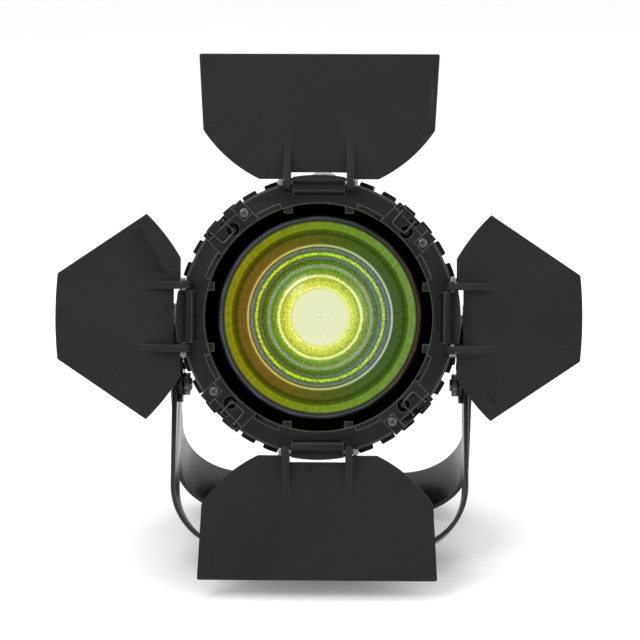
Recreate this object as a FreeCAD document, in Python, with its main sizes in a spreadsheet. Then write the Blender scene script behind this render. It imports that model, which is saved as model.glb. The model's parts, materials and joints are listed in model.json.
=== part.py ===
import FreeCAD, Part
import math
import os

import Sketcher

# A manual-zoom LED fresnel spotlight with four-leaf barn doors, standing on its two U brackets.
# Row frame: +Z up, the head faces -Y, the origin is on the floor under the middle of the model.
# Head parts are drawn in the head's own frame: the optical axis is Y with the lens at -Y, and
# Y = 0 is the plane of the tilt pivots. All lengths are in millimetres and angles in degrees.

Vector, Rotation, Placement = FreeCAD.Vector, FreeCAD.Rotation, FreeCAD.Placement
X_AXIS, Y_AXIS, Z_AXIS = Vector(1, 0, 0), Vector(0, 1, 0), Vector(0, 0, 1)

DIMENSIONS = {
    # stance
    "pivot_height": 139.9, "pivot_setback": -3.6, "head_tilt": 13.5, "axis_rise": 11,
    # U brackets
    "strap_width": 40, "strap_thick": 3, "front_half": 96, "rear_half": 99.5, "front_drop": 142.5,
    "rear_drop": 146, "front_bend": 42, "rear_bend": 45.5, "pivot_hole": 4.5, "hook_hole": 5.5,
    "side_hole": 3.25, "side_hole_x": 30, "strap_edge": 0.6,
    # stiffener plates and their bolts
    "plate_width": 26, "plate_thick": 3, "lock_drop": 33.4, "plate_tail": 12, "lock_radius": 4,
    "lock_head": 8, "nut_thick": 4.5, "nut_flats": 13, "washer_gap": 0.1,
    # tilt knobs
    "knob_radius": 19, "knob_length": 16, "knob_hub": 10, "knob_start": 101.2, "knob_neck": 5,
    "stud_radius": 4, "stud_bore": 4.07, "stud_inside": 80.9, "stud_grip": 14, "block_radius": 20,
    "block_in": 70, "block_out": 88,
    # barn-door frame
    "frame_front": 90, "frame_deep": 13, "aperture": 71, "frame_outer": 85.6, "lip_outer": 74.4,
    "lip_step": 0.9, "lip_start": 19, "lip_end": 32.5, "groove_low": 75.6, "groove_high": 77.9,
    "groove_half": 15.6, "groove_deep": 3,
    "station_angle": 45.6, "station_half": 16.1, "station_face": 86.2, "station_step": 1.3,
    "ledge_low": 81.4, "ledge_step": 0.6, "pad_low": 74.9, "pad_wide": 7.7, "pad_step": 1.1,
    "slit_low": 82.3, "slit_high": 83.8, "slit_half": 3.6, "slit_across": -1.2, "slit_deep": 2.5,
    "screw_across": 12.1, "screw_out": 78.4, "boss_out": 76.1, "boss_hole": 4.2, "boss_collar": 5.3,
    "boss_depth": 8, "tab_reach": 64.6, "tab_start": 16.3, "tab_width": 5.5, "tab_thick": 3,
    "wire_radius": 0.6, "wire_foot": 84.2, "wire_bridge": 74.2, "wire_half": 5.2, "wire_angle": 41.6,
    # barn-door hinges
    "pin_circle": 83.1, "pin_ahead": 6.5, "pin_radius": 1.5, "pin_bore": 1.56, "barrel_radius": 5.1,
    "block_half": 16.2, "block_face": 88.2, "arm_start": 17.4, "arm_thick": 4.2,
    "eye_radius": 4.4, "rib_reach": 25,
    # barn-door leaves
    "leaf_thick": 2, "leaf_inner": 85.7, "leaf_outer": 163.3, "notch_edge": 89.9, "notch_half": 17.2,
    "wide_half": 74.6, "wide_waist": 71.9, "wide_waist_at": 116, "flat_half": 37, "wide_arc": 87,
    "wide_offset": 5.5, "tall_half": 26.7, "tall_apex": 63.9, "tall_apex_at": 107, "tall_flat": 36.6,
    "tall_arc": 120, "tall_bow": 260, "tall_offset": 7, "corner_round": 1.3, "mark_radius": 3.7,
    "mark_depth": 0.2,
    # zoom ring, its sleeve and the lens carriage
    "ring_front": 76.4, "ring_back": 59.5, "ring_root": 86, "ring_tip": 89, "tooth_angle": 6.9,
    "tooth_count": 36, "sleeve_inner": 74.1, "sleeve_outer": 76.7, "sleeve_end": 8,
    "barrel_inner": 71.3, "barrel_outer": 73.8, "barrel_flange": 78, "flange_thick": 3, "barrel_end": 4,
    "carriage_outer": 71, "carriage_inner": 67.5, "carriage_front": 47, "carriage_back": 17,
    "guide_radius": 2.5, "guide_at": 30, "guide_tip": 76.5, "zoom_half_turn": 50, "zoom_half_travel": 14,
    "slot_clear": 0.35,
    # lens
    "lens_back": 33, "lens_base": 5, "lens_flange": 66.8, "lens_curve": 90, "first_zone": 19.7,
    "zone_width": 6.33, "lens_clear": 61.9, "rim_front": 45.8, "rim_bore": 61.9,
    "rim_crest": 65.2,
    # housing
    "shell_outer": 80.5, "shell_inner": 77.2, "shell_front": 58.9, "shell_split": 30, "shell_end": 108,
    "panel_radius": 78.5, "panel_thick": 3, "rib_height": 2.2, "rib_width": 3, "vent_width": 3,
    "vent_length": 34,
    # light engine and cooling
    "reflector_front": -3, "reflector_wide": 42, "reflector_narrow": 14, "sheet_thick": 1.2,
    "led_plane": 24, "emitter_radius": 13, "board_half": 27, "board_thick": 1.6, "sink_radius": 68,
    "sink_base": 7, "fin_length": 33, "fin_thick": 2, "fin_pitch": 8.5, "fan_half": 46, "fan_thick": 25,
    "fan_at": 68.5, "fan_bore": 43.5, "fan_tip": 41.8, "fan_hub": 17,
}


class Size:
    """A number together with the spreadsheet expression that it comes from."""

    def __init__(self, value, text):
        self.value, self.text = float(value), text

    @staticmethod
    def of(item):
        return item if isinstance(item, Size) else Size(item, f"{float(item):.6f}")

    def __add__(self, other):
        other = Size.of(other)
        return Size(self.value + other.value, f"({self.text} + {other.text})")

    def __sub__(self, other):
        other = Size.of(other)
        return Size(self.value - other.value, f"({self.text} - {other.text})")

    def __mul__(self, other):
        other = Size.of(other)
        return Size(self.value * other.value, f"({self.text} * {other.text})")

    def __truediv__(self, other):
        other = Size.of(other)
        return Size(self.value / other.value, f"({self.text} / {other.text})")

    def __radd__(self, other):
        return Size.of(other) + self

    def __rsub__(self, other):
        return Size.of(other) - self

    def __rmul__(self, other):
        return Size.of(other) * self

    def __neg__(self):
        return Size(-self.value, f"(-{self.text})")


class Sizes:
    """The driving dimensions, each one an attribute named like its cell's alias."""

    def __init__(self, sheet):
        for row, (alias, number) in enumerate(DIMENSIONS.items(), start=1):
            sheet.set(f"A{row}", alias)
            sheet.set(f"B{row}", str(number))
            sheet.setAlias(f"B{row}", alias)
            setattr(self, alias, Size(number, f"{sheet.Name}.{alias}"))


doc = FreeCAD.newDocument("FresnelSpotlight")
size = Sizes(doc.addObject("Spreadsheet::Sheet", "Sizes"))
doc.recompute()


# ---------------------------------------------------------------- drawing helpers

def bind(feature, **properties):
    """Set properties to Sizes and bind each to its spreadsheet expression."""
    for name, item in properties.items():
        item = Size.of(item)
        setattr(feature, name, item.value)
        feature.setExpression(name, item.text)


def origin_feature(body, role):
    return next(item for item in body.Origin.OriginFeatures if item.Role == role)


def new_body(label, place=None):
    body = doc.addObject("PartDesign::Body", label)
    body.Label = label
    if place is not None:
        body.Placement = place
    return body


def circle(x, y, radius):
    return ("circle", Size.of(x), Size.of(y), Size.of(radius))


def box_outline(x_low, x_high, y_low, y_high):
    return [(x_low, y_low), (x_high, y_low), (x_high, y_high), (x_low, y_high)]


def arc_between(start, end, radius, side):
    """The arc of this radius from start to end that bulges right (side 1) or left (-1) of the way.

    It is stored counter-clockwise about its centre, as sketches keep their arcs.
    """
    along = (end - start).normalize()
    half = start.distanceToPoint(end) / 2
    inward = Vector(-along.y, along.x, 0) * side
    centre = (start + end) / 2 + inward * math.sqrt(max(radius * radius - half * half, 0.0))
    first, last = (start, end) if side > 0 else (end, start)
    first_angle = math.atan2(first.y - centre.y, first.x - centre.x)
    last_angle = math.atan2(last.y - centre.y, last.x - centre.x)
    if last_angle < first_angle:
        last_angle += 2 * math.pi
    return Part.ArcOfCircle(Part.Circle(centre, Z_AXIS, radius), first_angle, last_angle)


def draw_ring(drawing, corners):
    """Draw one closed outline in a sketch and tie every corner and radius to the spreadsheet.

    A corner is (x, y), or (x, y, radius, side) where an arc leads from it to the next corner.
    """
    corners = split_half_rounds(corners)
    places = [(Size.of(corner[0]), Size.of(corner[1])) for corner in corners]
    points = [Vector(x.value, y.value, 0) for x, y in places]
    first = drawing.GeometryCount
    starts = []
    for index, corner in enumerate(corners):
        start, end = points[index], points[(index + 1) % len(points)]
        if len(corner) == 2:
            number = drawing.addGeometry(Part.LineSegment(start, end))
        else:
            number = drawing.addGeometry(arc_between(start, end, Size.of(corner[2]).value, corner[3]))
        forward = drawing.Geometry[number].StartPoint.distanceToPoint(start) < 1e-6
        starts.append((1, 2) if forward else (2, 1))
    for index, corner in enumerate(corners):
        number, following = first + index, (index + 1) % len(points)
        drawing.addConstraint(Sketcher.Constraint(
            "Coincident", number, starts[index][1], first + following, starts[following][0]))
        x, y = places[index]
        pin_point(drawing, number, starts[index][0], x, y)
        if len(corner) > 2:
            tie(drawing, Sketcher.Constraint("Radius", number, Size.of(corner[2]).value), Size.of(corner[2]))


def split_half_rounds(corners):
    """Divide each half-circle at its crest, because its two ends alone don't fix its centre."""
    divided = []
    for corner, following in zip(corners, corners[1:] + corners[:1]):
        divided.append(corner)
        if len(corner) == 2:
            continue
        x, y, radius = (Size.of(item) for item in corner[:3])
        next_x, next_y = Size.of(following[0]), Size.of(following[1])
        way = Vector((next_x - x).value, (next_y - y).value, 0)
        if abs(way.Length - 2 * radius.value) < 1e-6:
            way.normalize()
            side = corner[3]
            divided.append(((x + next_x) / 2 + side * way.y * radius,
                            (y + next_y) / 2 - side * way.x * radius, radius, side))
    return divided


def pin_point(drawing, number, end, x, y):
    """Fix one point of a sketch at (x, y) from its origin."""
    for kind, axis_line, item in (("DistanceX", -2, x), ("DistanceY", -1, y)):
        if item.value == 0:
            drawing.addConstraint(Sketcher.Constraint("PointOnObject", number, end, axis_line))
        else:
            tie(drawing, Sketcher.Constraint(kind, -1, 1, number, end, item.value), item)


def tie(drawing, constraint, item):
    number = drawing.addConstraint(constraint)
    drawing.setExpression(f"Constraints[{number}]", item.text)


def sketch(body, role, outlines, lift=0):
    """A sketch on one of the body's origin planes, lifted along the plane's normal."""
    drawing = body.newObject("Sketcher::SketchObject", f"{body.Label}_sketch")
    drawing.AttachmentSupport = [(origin_feature(body, role), "")]
    drawing.MapMode = "FlatFace"
    lift = Size.of(lift)
    drawing.AttachmentOffset = Placement(Vector(0, 0, lift.value), Rotation())
    drawing.setExpression("AttachmentOffset.Base.z", lift.text)
    for outline in outlines:
        if outline[0] == "circle":
            number = drawing.addGeometry(Part.Circle(
                Vector(outline[1].value, outline[2].value, 0), Z_AXIS, outline[3].value))
            pin_point(drawing, number, 3, outline[1], outline[2])
            tie(drawing, Sketcher.Constraint("Radius", number, outline[3].value), outline[3])
        else:
            draw_ring(drawing, outline)
    drawing.Visibility = False
    return drawing


def extrude(body, drawing, length, kind="Pad", reverse=False, middle=False):
    feature = body.newObject(f"PartDesign::{kind}", f"{body.Label}_{kind.lower()}")
    feature.Profile = drawing
    bind(feature, Length=length)
    feature.Reversed = reverse
    feature.Midplane = middle
    return feature


def cut(body, drawing, length, reverse=False, middle=False):
    """A pocket that has to take material away."""
    doc.recompute()
    before = body.Shape.Volume
    feature = extrude(body, drawing, length, "Pocket", reverse, middle)
    doc.recompute()
    if not body.Shape.Volume < before - 1e-6:
        raise RuntimeError(f"{body.Label}: a pocket cuts nothing")
    return feature


def turn(body, corners, axis="H_Axis", role="YZ_Plane"):
    """A solid of revolution: the outline is turned about a sketch axis."""
    drawing = sketch(body, role, [corners])
    feature = body.newObject("PartDesign::Revolution", f"{body.Label}_turned")
    feature.Profile = drawing
    feature.ReferenceAxis = (drawing, [axis])
    feature.Angle = 360
    return feature


def around(body, features, count, axis="Y_Axis", angle=360):
    pattern = body.newObject("PartDesign::PolarPattern", f"{body.Label}_pattern")
    pattern.Originals = features
    pattern.Axis = (origin_feature(body, axis), [""])
    pattern.Angle = angle
    pattern.Occurrences = count
    body.Tip = pattern
    return pattern


def soften(body, radius, wanted):
    """Round the edges of the body's tip that the test picks."""
    doc.recompute()
    base = body.Tip
    names = [f"Edge{number}" for number, edge in enumerate(base.Shape.Edges, start=1) if wanted(edge)]
    if not names:
        raise RuntimeError(f"{body.Label}: no edge to round")
    fillet = body.newObject("PartDesign::Fillet", f"{body.Label}_fillet")
    fillet.Base = (base, names)
    bind(fillet, Radius=radius)
    return fillet


def rod(radius, length, place, kind="Part::Cylinder"):
    """A plain cylinder along its own +Z, set in place."""
    item = doc.addObject(kind, "rod")
    bind(item, Radius=radius, Height=length)
    item.Placement = place
    return item


def hexagon(flats, length, place):
    item = doc.addObject("Part::Prism", "hexagon")
    item.Polygon = 6
    bind(item, Circumradius=Size.of(flats) / math.sqrt(3), Height=length)
    item.Placement = place
    return item


def block(width, depth, height, place):
    """A box centred on its own X and Y, standing on Z = 0."""
    item = doc.addObject("Part::Box", "block")
    bind(item, Length=width, Width=depth, Height=height)
    corner = Vector(-Size.of(width).value / 2, -Size.of(depth).value / 2, 0)
    item.Placement = place * Placement(corner, Rotation())
    return item


def fused(items, label="fused"):
    item = doc.addObject("Part::MultiFuse", label)
    item.Label = label
    item.Shapes = items
    return item


def without(base, tool, label="cut"):
    item = doc.addObject("Part::Cut", label)
    item.Label = label
    item.Base, item.Tool = base, tool
    return item


def group(items, label):
    item = doc.addObject("Part::Compound", label)
    item.Label = label
    item.Links = items
    return item


def shift(x=0, y=0, z=0):
    return Placement(Vector(x, y, z), Rotation())


def spin(axis, angle):
    return Placement(Vector(), Rotation(axis, angle))


# ---------------------------------------------------------------- where things are

def lean(drop):
    """How far a bracket of this drop leans from upright so that its lower edge is on the floor."""
    corner = math.hypot(drop.value, size.strap_width.value / 2)
    return (math.degrees(math.atan2(size.strap_width.value / 2, drop.value))
            + math.degrees(math.acos(size.pivot_height.value / corner)))


PIVOT = shift(y=size.pivot_setback.value, z=size.pivot_height.value)
HEAD = PIVOT * spin(X_AXIS, -size.head_tilt.value) * shift(z=size.axis_rise.value)
FRONT_ARMS = PIVOT * spin(X_AXIS, -lean(size.front_drop))
REAR_ARMS = PIVOT * spin(X_AXIS, lean(size.rear_drop))
QUARTERS = {"top": 0, "right": 90, "bottom": 180, "left": 270}
SIDES = {"right": spin(Z_AXIS, 0), "left": spin(Z_AXIS, 180)}
ALONG_X = spin(Y_AXIS, 90)          # turns a rod's +Z to +X
ALONG_Y = spin(X_AXIS, -90)         # turns a rod's +Z to +Y
FORWARD = spin(X_AXIS, 90)          # turns a rod's +Z to -Y


def quarter(name):
    """The head frame turned about the optical axis, so that a top part comes to this side."""
    return HEAD * spin(Y_AXIS, QUARTERS[name])


def polar(radius, angle, y=0):
    """A place in the head frame, the angle counted from straight up towards +X."""
    return shift(radius * math.sin(math.radians(angle)), y, radius * math.cos(math.radians(angle)))


# ---------------------------------------------------------------- brackets and pivots

def u_strap(label, half, drop, bend, place):
    """A flat steel strap bent to a U, its arms rounded about the tilt pivot."""
    thick, end = size.strap_thick, size.strap_width / 2
    body = new_body(label, place)
    inner_half, inner_drop, inner_bend = half - thick, drop - thick, bend - thick
    outline = [
        (-half, end), (-half, bend - drop, bend, 1), (bend - half, -drop),
        (half - bend, -drop, bend, 1), (half, bend - drop), (half, end),
        (inner_half, end), (inner_half, inner_bend - inner_drop, inner_bend, -1),
        (inner_half - inner_bend, -inner_drop),
        (inner_bend - inner_half, -inner_drop, inner_bend, -1),
        (-inner_half, inner_bend - inner_drop), (-inner_half, end)]
    extrude(body, sketch(body, "XZ_Plane", [outline]), size.strap_width, middle=True)
    holes = [circle(0, 0, size.hook_hole)]
    holes += [circle(side * size.side_hole_x, 0, size.side_hole) for side in (-1, 1)]
    cut(body, sketch(body, "XY_Plane", holes), drop + thick)
    cut(body, sketch(body, "YZ_Plane", [circle(0, 0, size.pivot_hole)]), half * 2 + thick, middle=True)
    soften(body, end - 0.05, lambda edge: is_arm_corner(edge, end.value))
    return body


def is_arm_corner(edge, top):
    """True for the short edges along X at the top of a strap's arms."""
    box = edge.BoundBox
    return box.ZMin > top - 0.01 and box.YLength < 0.01 and box.XLength > 1


def front_bracket():
    body = u_strap("front_bracket_strap", size.front_half, size.front_drop, size.front_bend, FRONT_ARMS)
    cut(body, sketch(body, "YZ_Plane", [circle(0, -size.lock_drop, size.lock_radius + 0.3)]),
        size.front_half * 2 + 2, middle=True)
    sinks = []
    for turned in SIDES.values():
        cone = doc.addObject("Part::Cone", "countersink")
        bind(cone, Radius1=size.lock_radius + 0.3, Radius2=size.lock_head + 0.3,
             Height=size.strap_thick - 0.4)
        cone.Placement = FRONT_ARMS * turned * shift(
            size.front_half.value - size.strap_thick.value + 0.4, 0, -size.lock_drop.value) * ALONG_X
        sinks.append(cone)
    return without(body, fused(sinks), "front_bracket")


def rear_bracket():
    return u_strap("rear_bracket", size.rear_half, size.rear_drop, size.rear_bend, REAR_ARMS)


def bracket_plates():
    """Stiffener plates inside the front bracket's arms, round at both ends."""
    plates = []
    half = size.plate_width / 2
    tail = size.lock_drop + size.plate_tail - half
    for side, turned in SIDES.items():
        body = new_body(f"bracket_plate_{side}", FRONT_ARMS * turned)
        outline = [(half, -tail), (half, 0, half, 1), (-half, 0), (-half, -tail, half, 1)]
        inside = size.front_half - size.strap_thick - size.plate_thick
        extrude(body, sketch(body, "YZ_Plane", [outline], lift=inside), size.plate_thick)
        holes = [circle(0, 0, size.pivot_hole), circle(0, -size.lock_drop, size.lock_radius + 0.3)]
        cut(body, sketch(body, "YZ_Plane", holes, lift=inside), size.plate_thick, reverse=True)
        plates.append(body)
    return group(plates, "bracket_plates")


def plate_bolts():
    """Countersunk bolts, flush outside, that hold the stiffener plates."""
    bolts = []
    tip = size.front_half - size.strap_thick - size.plate_thick - size.nut_thick - 1.2
    for turned in SIDES.values():
        line = FRONT_ARMS * turned * shift(z=-size.lock_drop.value)
        shank = rod(size.lock_radius, size.front_half - tip, line * shift(tip.value) * ALONG_X)
        head = doc.addObject("Part::Cone", "bolt_head")
        bind(head, Radius1=size.lock_radius, Radius2=size.lock_head, Height=size.strap_thick - 0.6)
        head.Placement = line * shift(size.front_half.value - size.strap_thick.value + 0.6) * ALONG_X
        bolts.append(fused([shank, head]))
    return group(bolts, "plate_bolts")


def plate_nuts():
    nuts = []
    inside = size.front_half - size.strap_thick - size.plate_thick
    for turned in SIDES.values():
        line = FRONT_ARMS * turned * shift(inside.value - size.nut_thick.value, 0, -size.lock_drop.value)
        nut = hexagon(size.nut_flats, size.nut_thick, line * ALONG_X)
        nuts.append(without(nut, rod(size.lock_radius, size.nut_thick, line * ALONG_X)))
    return group(nuts, "plate_nuts")


def plate_rivets():
    """Small square stop studs between each pivot and its lock bolt."""
    stud_side, stud_length, stud_drop = 4.5, 1.6, 21.5
    inside = size.front_half.value - size.strap_thick.value - size.plate_thick.value
    studs = [block(stud_side, stud_side, stud_length,
                   FRONT_ARMS * turned * shift(inside - stud_length, 0, -stud_drop) * ALONG_X)
             for turned in SIDES.values()]
    return group(studs, "plate_rivets")


def washers(label, radius, start, thick, place):
    """One washer on each side of the head, around the pivot studs."""
    rings = []
    for turned in SIDES.values():
        line = place * turned * shift(Size.of(start).value) * ALONG_X
        rings.append(without(rod(radius, thick, line), rod(size.pivot_hole, thick, line)))
    return group(rings, label)


def tilt_knob(side):
    """A six-lobed clamping knob on the pivot line."""
    lobes, scallop_circle, scallop_radius = 6, 22, 6.5
    body = new_body(f"tilt_knob_{side}", PIVOT * SIDES[side])
    extrude(body, sketch(body, "YZ_Plane", [circle(0, 0, size.knob_hub)], lift=size.knob_start),
            size.knob_neck + 1)
    grip_start = size.knob_start + size.knob_neck
    extrude(body, sketch(body, "YZ_Plane", [circle(0, 0, size.knob_radius)], lift=grip_start),
            size.knob_length)
    scallop = cut(body, sketch(body, "YZ_Plane", [circle(0, scallop_circle, scallop_radius)],
                               lift=grip_start), size.knob_length, reverse=True)
    around(body, [scallop], lobes, axis="X_Axis")
    bore = sketch(body, "YZ_Plane", [circle(0, 0, size.stud_radius)], lift=size.knob_start)
    cut(body, bore, size.stud_grip, reverse=True)
    end = (grip_start + size.knob_length).value
    soften(body, 1.5, lambda edge: edge.BoundBox.XMin > end - 0.01)
    return body


def tilt_stud(side):
    """The threaded stud moulded into a knob, free to turn in the pivot block."""
    body = new_body(f"tilt_stud_{side}", PIVOT * SIDES[side])
    extrude(body, sketch(body, "YZ_Plane", [circle(0, 0, size.stud_radius)], lift=size.stud_inside),
            size.knob_start + size.stud_grip - size.stud_inside)
    return body


def pivot_blocks():
    """Round cast pads on the housing's sides, bored for the pivot studs."""
    blocks = []
    start, bore_start, reach = size.block_in.value, size.stud_inside.value - 0.2, size.block_radius.value + 10
    for turned in SIDES.values():
        line = HEAD * shift(z=-size.axis_rise.value) * turned
        pad = rod(size.block_radius, size.block_out - start, line * shift(start) * ALONG_X)
        shell = rod(size.shell_outer, 2 * reach, HEAD * shift(y=-reach) * ALONG_Y)
        bore = rod(size.stud_bore, size.block_out - bore_start, line * shift(bore_start) * ALONG_X)
        blocks.append(without(pad, fused([shell, bore])))
    return group(blocks, "pivot_blocks")


# ---------------------------------------------------------------- barn-door frame

def front_frame():
    """The ring that carries the barn doors, with a raised station for each wire clip."""
    body = new_body("front_frame", HEAD)
    front, back = -size.frame_front, size.frame_deep - size.frame_front
    top = size.frame_front + size.station_step
    turn(body, [(back, size.aperture), (front, size.aperture), (front, size.frame_outer - 1),
                (front + 1, size.frame_outer), (back, size.frame_outer)])
    features = [extrude(body, sketch(body, "XZ_Plane", [station_outline(size.aperture, size.station_face)],
                                     lift=size.frame_front - size.frame_deep),
                        size.frame_deep + size.station_step)]
    half = size.station_half
    pad = on_station(half - size.pad_wide, half, size.pad_low, size.station_face)
    ledge = on_station(-half, half - size.pad_wide, size.ledge_low, size.station_face)
    spot = station_point(0, size.boss_out)
    raised = [(pad, size.frame_front, size.station_step + size.pad_step),
              (ledge, size.frame_front, size.station_step + size.ledge_step),
              (circle(*spot, size.boss_collar), size.frame_front - 1, size.station_step + 1)]
    for start, end in ((size.lip_start, size.lip_end), (90 - size.lip_end, 90 - size.lip_start)):
        raised.append((sector(size.aperture, size.lip_outer, start, end), size.frame_front - 1,
                       size.lip_step + 1))
    for side in (-1, 1):
        middle = side * (size.tab_start + size.tab_width / 2)
        raised.append((box_outline(middle - size.tab_width / 2, middle + size.tab_width / 2,
                                   size.tab_reach, size.aperture + 1),
                       size.frame_front - size.tab_thick - 1, size.tab_thick))
    for outline, lift, thick in raised:
        features.append(extrude(body, sketch(body, "XZ_Plane", [outline], lift=lift), thick))
    slit = on_station(size.slit_across - size.slit_half, size.slit_across + size.slit_half,
                      size.slit_low, size.slit_high)
    hollows = [(circle(*spot, size.boss_hole), size.boss_depth), (slit, size.slit_deep),
               (box_outline(-size.groove_half, size.groove_half, size.groove_low, size.groove_high),
                size.groove_deep)]
    hollows += [(tilted_square(*wire_corner(side, size.wire_foot.value, 0.9), 1.5,
                               size.wire_angle.value), Size.of(6)) for side in (-1, 1)]
    for outline, deep in hollows:
        features.append(cut(body, sketch(body, "XZ_Plane", [outline], lift=top + 2),
                            deep + 2 + size.station_step))
    around(body, features, len(QUARTERS))
    return body


def station_point(across, out):
    """A point of the front face: across and out from a station's own middle line."""
    angle = math.radians(size.station_angle.value)
    across, out = Size.of(across), Size.of(out)
    return (across * math.cos(angle) + out * math.sin(angle),
            out * math.cos(angle) - across * math.sin(angle))


def on_station(left, right, low, high):
    """A rectangle square to a station's middle line."""
    return [station_point(across, out)
            for across, out in ((left, low), (right, low), (right, high), (left, high))]


def station_outline(inner, face):
    """Flat outside, with flanks square to that, and round to the aperture."""
    half = size.station_half
    low = math.sqrt(inner.value ** 2 - half.value ** 2)
    corners = [station_point(-half, low), station_point(-half, face), station_point(half, face)]
    return corners + [(*station_point(half, low), inner, 1)]


def sector(inner, outer, start, end):
    """Part of a ring between two angles, counted from straight up towards +X."""
    first, last = math.radians(start.value), math.radians(end.value)
    return [(inner * math.sin(first), inner * math.cos(first)),
            (outer * math.sin(first), outer * math.cos(first), outer, -1),
            (outer * math.sin(last), outer * math.cos(last)),
            (inner * math.sin(last), inner * math.cos(last), inner, 1)]


def tilted_square(x, y, half, angle):
    """A square turned to lie along the ring at this angle."""
    along, out = math.radians(90 - angle), math.radians(-angle)
    corners = []
    for a, b in ((-1, -1), (1, -1), (1, 1), (-1, 1)):
        corners.append((x + half * (a * math.cos(out) + b * math.cos(along)),
                        y + half * (a * math.sin(out) + b * math.sin(along))))
    return corners


def wire_corner(side, radius, spread=0):
    """A point of a wire clip: its legs stand either side of the clip's own angle."""
    angle = math.radians(size.wire_angle.value)
    across = side * (size.wire_half.value + spread)
    return (radius * math.sin(angle) + across * math.cos(angle),
            radius * math.cos(angle) - across * math.sin(angle))


def boss_screws():
    """Pan-head screws, deep in the four wells, that hold the frame to the barrel."""
    screws = []
    floor = size.frame_front.value - size.boss_depth.value
    for angle in QUARTERS.values():
        spot = HEAD * polar(size.boss_out.value, size.station_angle.value + angle, -floor)
        screws.append(cross_screw(3, 2.2, spot * FORWARD, angle))
    return group(screws, "boss_screws")


def clip_screws():
    screws = []
    face = (size.frame_front + size.station_step + size.pad_step).value
    x, z = (item.value for item in station_point(size.screw_across, size.screw_out))
    for number, angle in enumerate(QUARTERS.values()):
        spot = HEAD * spin(Y_AXIS, angle) * shift(x, -face, z)
        screws.append(cross_screw(3.1, 1.9, spot * FORWARD, 25 + 37 * number))
    return group(screws, "clip_screws")


def cross_screw(radius, height, place, turned):
    """A domed screw head with a cross recess, standing on its own Z = 0."""
    body = doc.addObject("Part::Cylinder", "screw_head")
    bind(body, Radius=radius, Height=height)
    body.Placement = place
    dome = doc.addObject("Part::Fillet", "screw_dome")
    dome.Base = body
    doc.recompute()
    top = max(range(3), key=lambda n: abs(body.Shape.Edges[n].CenterOfMass.distanceToPoint(place.Base))
              if len(body.Shape.Edges[n].Vertexes) == 1 else -1)
    dome.Edges = [(top + 1, height * 0.6, height * 0.6)]
    arm_long, arm_wide, arm_deep = radius * 1.2, 0.7, height * 0.62
    arms = [block(arm_long, arm_wide, arm_deep + 1,
                  place * spin(Z_AXIS, turned + quarter_turn) * shift(z=height - arm_deep))
            for quarter_turn in (0, 90)]
    return without(dome, fused(arms))


def clip_wire(number):
    """A spring-wire bail that folds over the edge of a filter frame."""
    angle = 90 * number
    place = HEAD * spin(Y_AXIS, angle) * spin(Y_AXIS, size.wire_angle.value)
    body = new_body(f"clip_wire_{number + 1}", place)
    level = size.frame_front + size.station_step + size.ledge_step + size.wire_radius + 0.1
    bend = 1.8
    half, foot, bridge = size.wire_half, size.wire_foot, size.wire_bridge
    path = body.newObject("Sketcher::SketchObject", f"{body.Label}_path")
    path.AttachmentSupport = [(origin_feature(body, "XZ_Plane"), "")]
    path.MapMode = "FlatFace"
    path.AttachmentOffset = shift(z=level.value)
    path.setExpression("AttachmentOffset.Base.z", level.text)
    stub, h, low, high = 1.3, half.value, bridge.value, foot.value
    points = [(-h - stub, high), (-h, high), (-h, low + bend), (-h + bend, low),
              (h - bend, low), (h, low + bend), (h, high), (h + stub, high)]
    points = [Vector(x, y, 0) for x, y in points]
    path.addGeometry(Part.LineSegment(points[0], points[1]))
    path.addGeometry(Part.LineSegment(points[1], points[2]))
    path.addGeometry(arc_between(points[2], points[3], bend, 1))
    path.addGeometry(Part.LineSegment(points[3], points[4]))
    path.addGeometry(arc_between(points[4], points[5], bend, 1))
    path.addGeometry(Part.LineSegment(points[5], points[6]))
    path.addGeometry(Part.LineSegment(points[6], points[7]))
    section = sketch(body, "YZ_Plane", [circle(-level, foot, size.wire_radius)], lift=-half - stub)
    pipe = body.newObject("PartDesign::AdditivePipe", f"{body.Label}_pipe")
    pipe.Profile = section
    pipe.Spine = path
    pipe.Transition = "Right corner"
    return body


# ---------------------------------------------------------------- barn-door hinges and leaves

def hinge_blocks():
    """Knuckles on the frame's front face, each rounded about its hinge bolt."""
    blocks = []
    pin_y = -(size.frame_front + size.pin_ahead)
    for name in QUARTERS:
        body = new_body(f"hinge_block_{name}", quarter(name))
        low, high = size.pin_circle - size.barrel_radius, size.pin_circle + size.barrel_radius
        extrude(body, sketch(body, "YZ_Plane", [[
            (-size.frame_front, low), (-size.frame_front, high), (pin_y, high, size.barrel_radius, -1),
            (pin_y - size.barrel_radius, size.pin_circle, size.barrel_radius, -1), (pin_y, low)]]),
            size.block_half * 2, middle=True)
        cut(body, sketch(body, "YZ_Plane", [circle(pin_y, size.pin_circle, size.pin_radius)]),
            size.block_half * 2 + 2, middle=True)
        outside = [circle(0, 0, size.block_face), circle(0, 0, size.block_face + 20)]
        cut(body, sketch(body, "XZ_Plane", outside, lift=size.frame_front + 20), 30)
        blocks.append(body)
    return group(blocks, "hinge_blocks")


def hinge_bolts():
    """One bolt through each knuckle, head at one end and thread at the other."""
    bolts = []
    end = size.arm_start + size.arm_thick + 0.35
    for name in QUARTERS:
        line = quarter(name) * shift(0, -(size.frame_front + size.pin_ahead).value, size.pin_circle.value)
        shank = rod(size.pin_radius, end * 2 + 3.6, line * shift(-end.value - 3.6) * ALONG_X)
        head = rod(2.9, 2.2, line * shift(end.value) * ALONG_X)
        bolts.append(fused([shank, head]))
    return group(bolts, "hinge_bolts")


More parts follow.
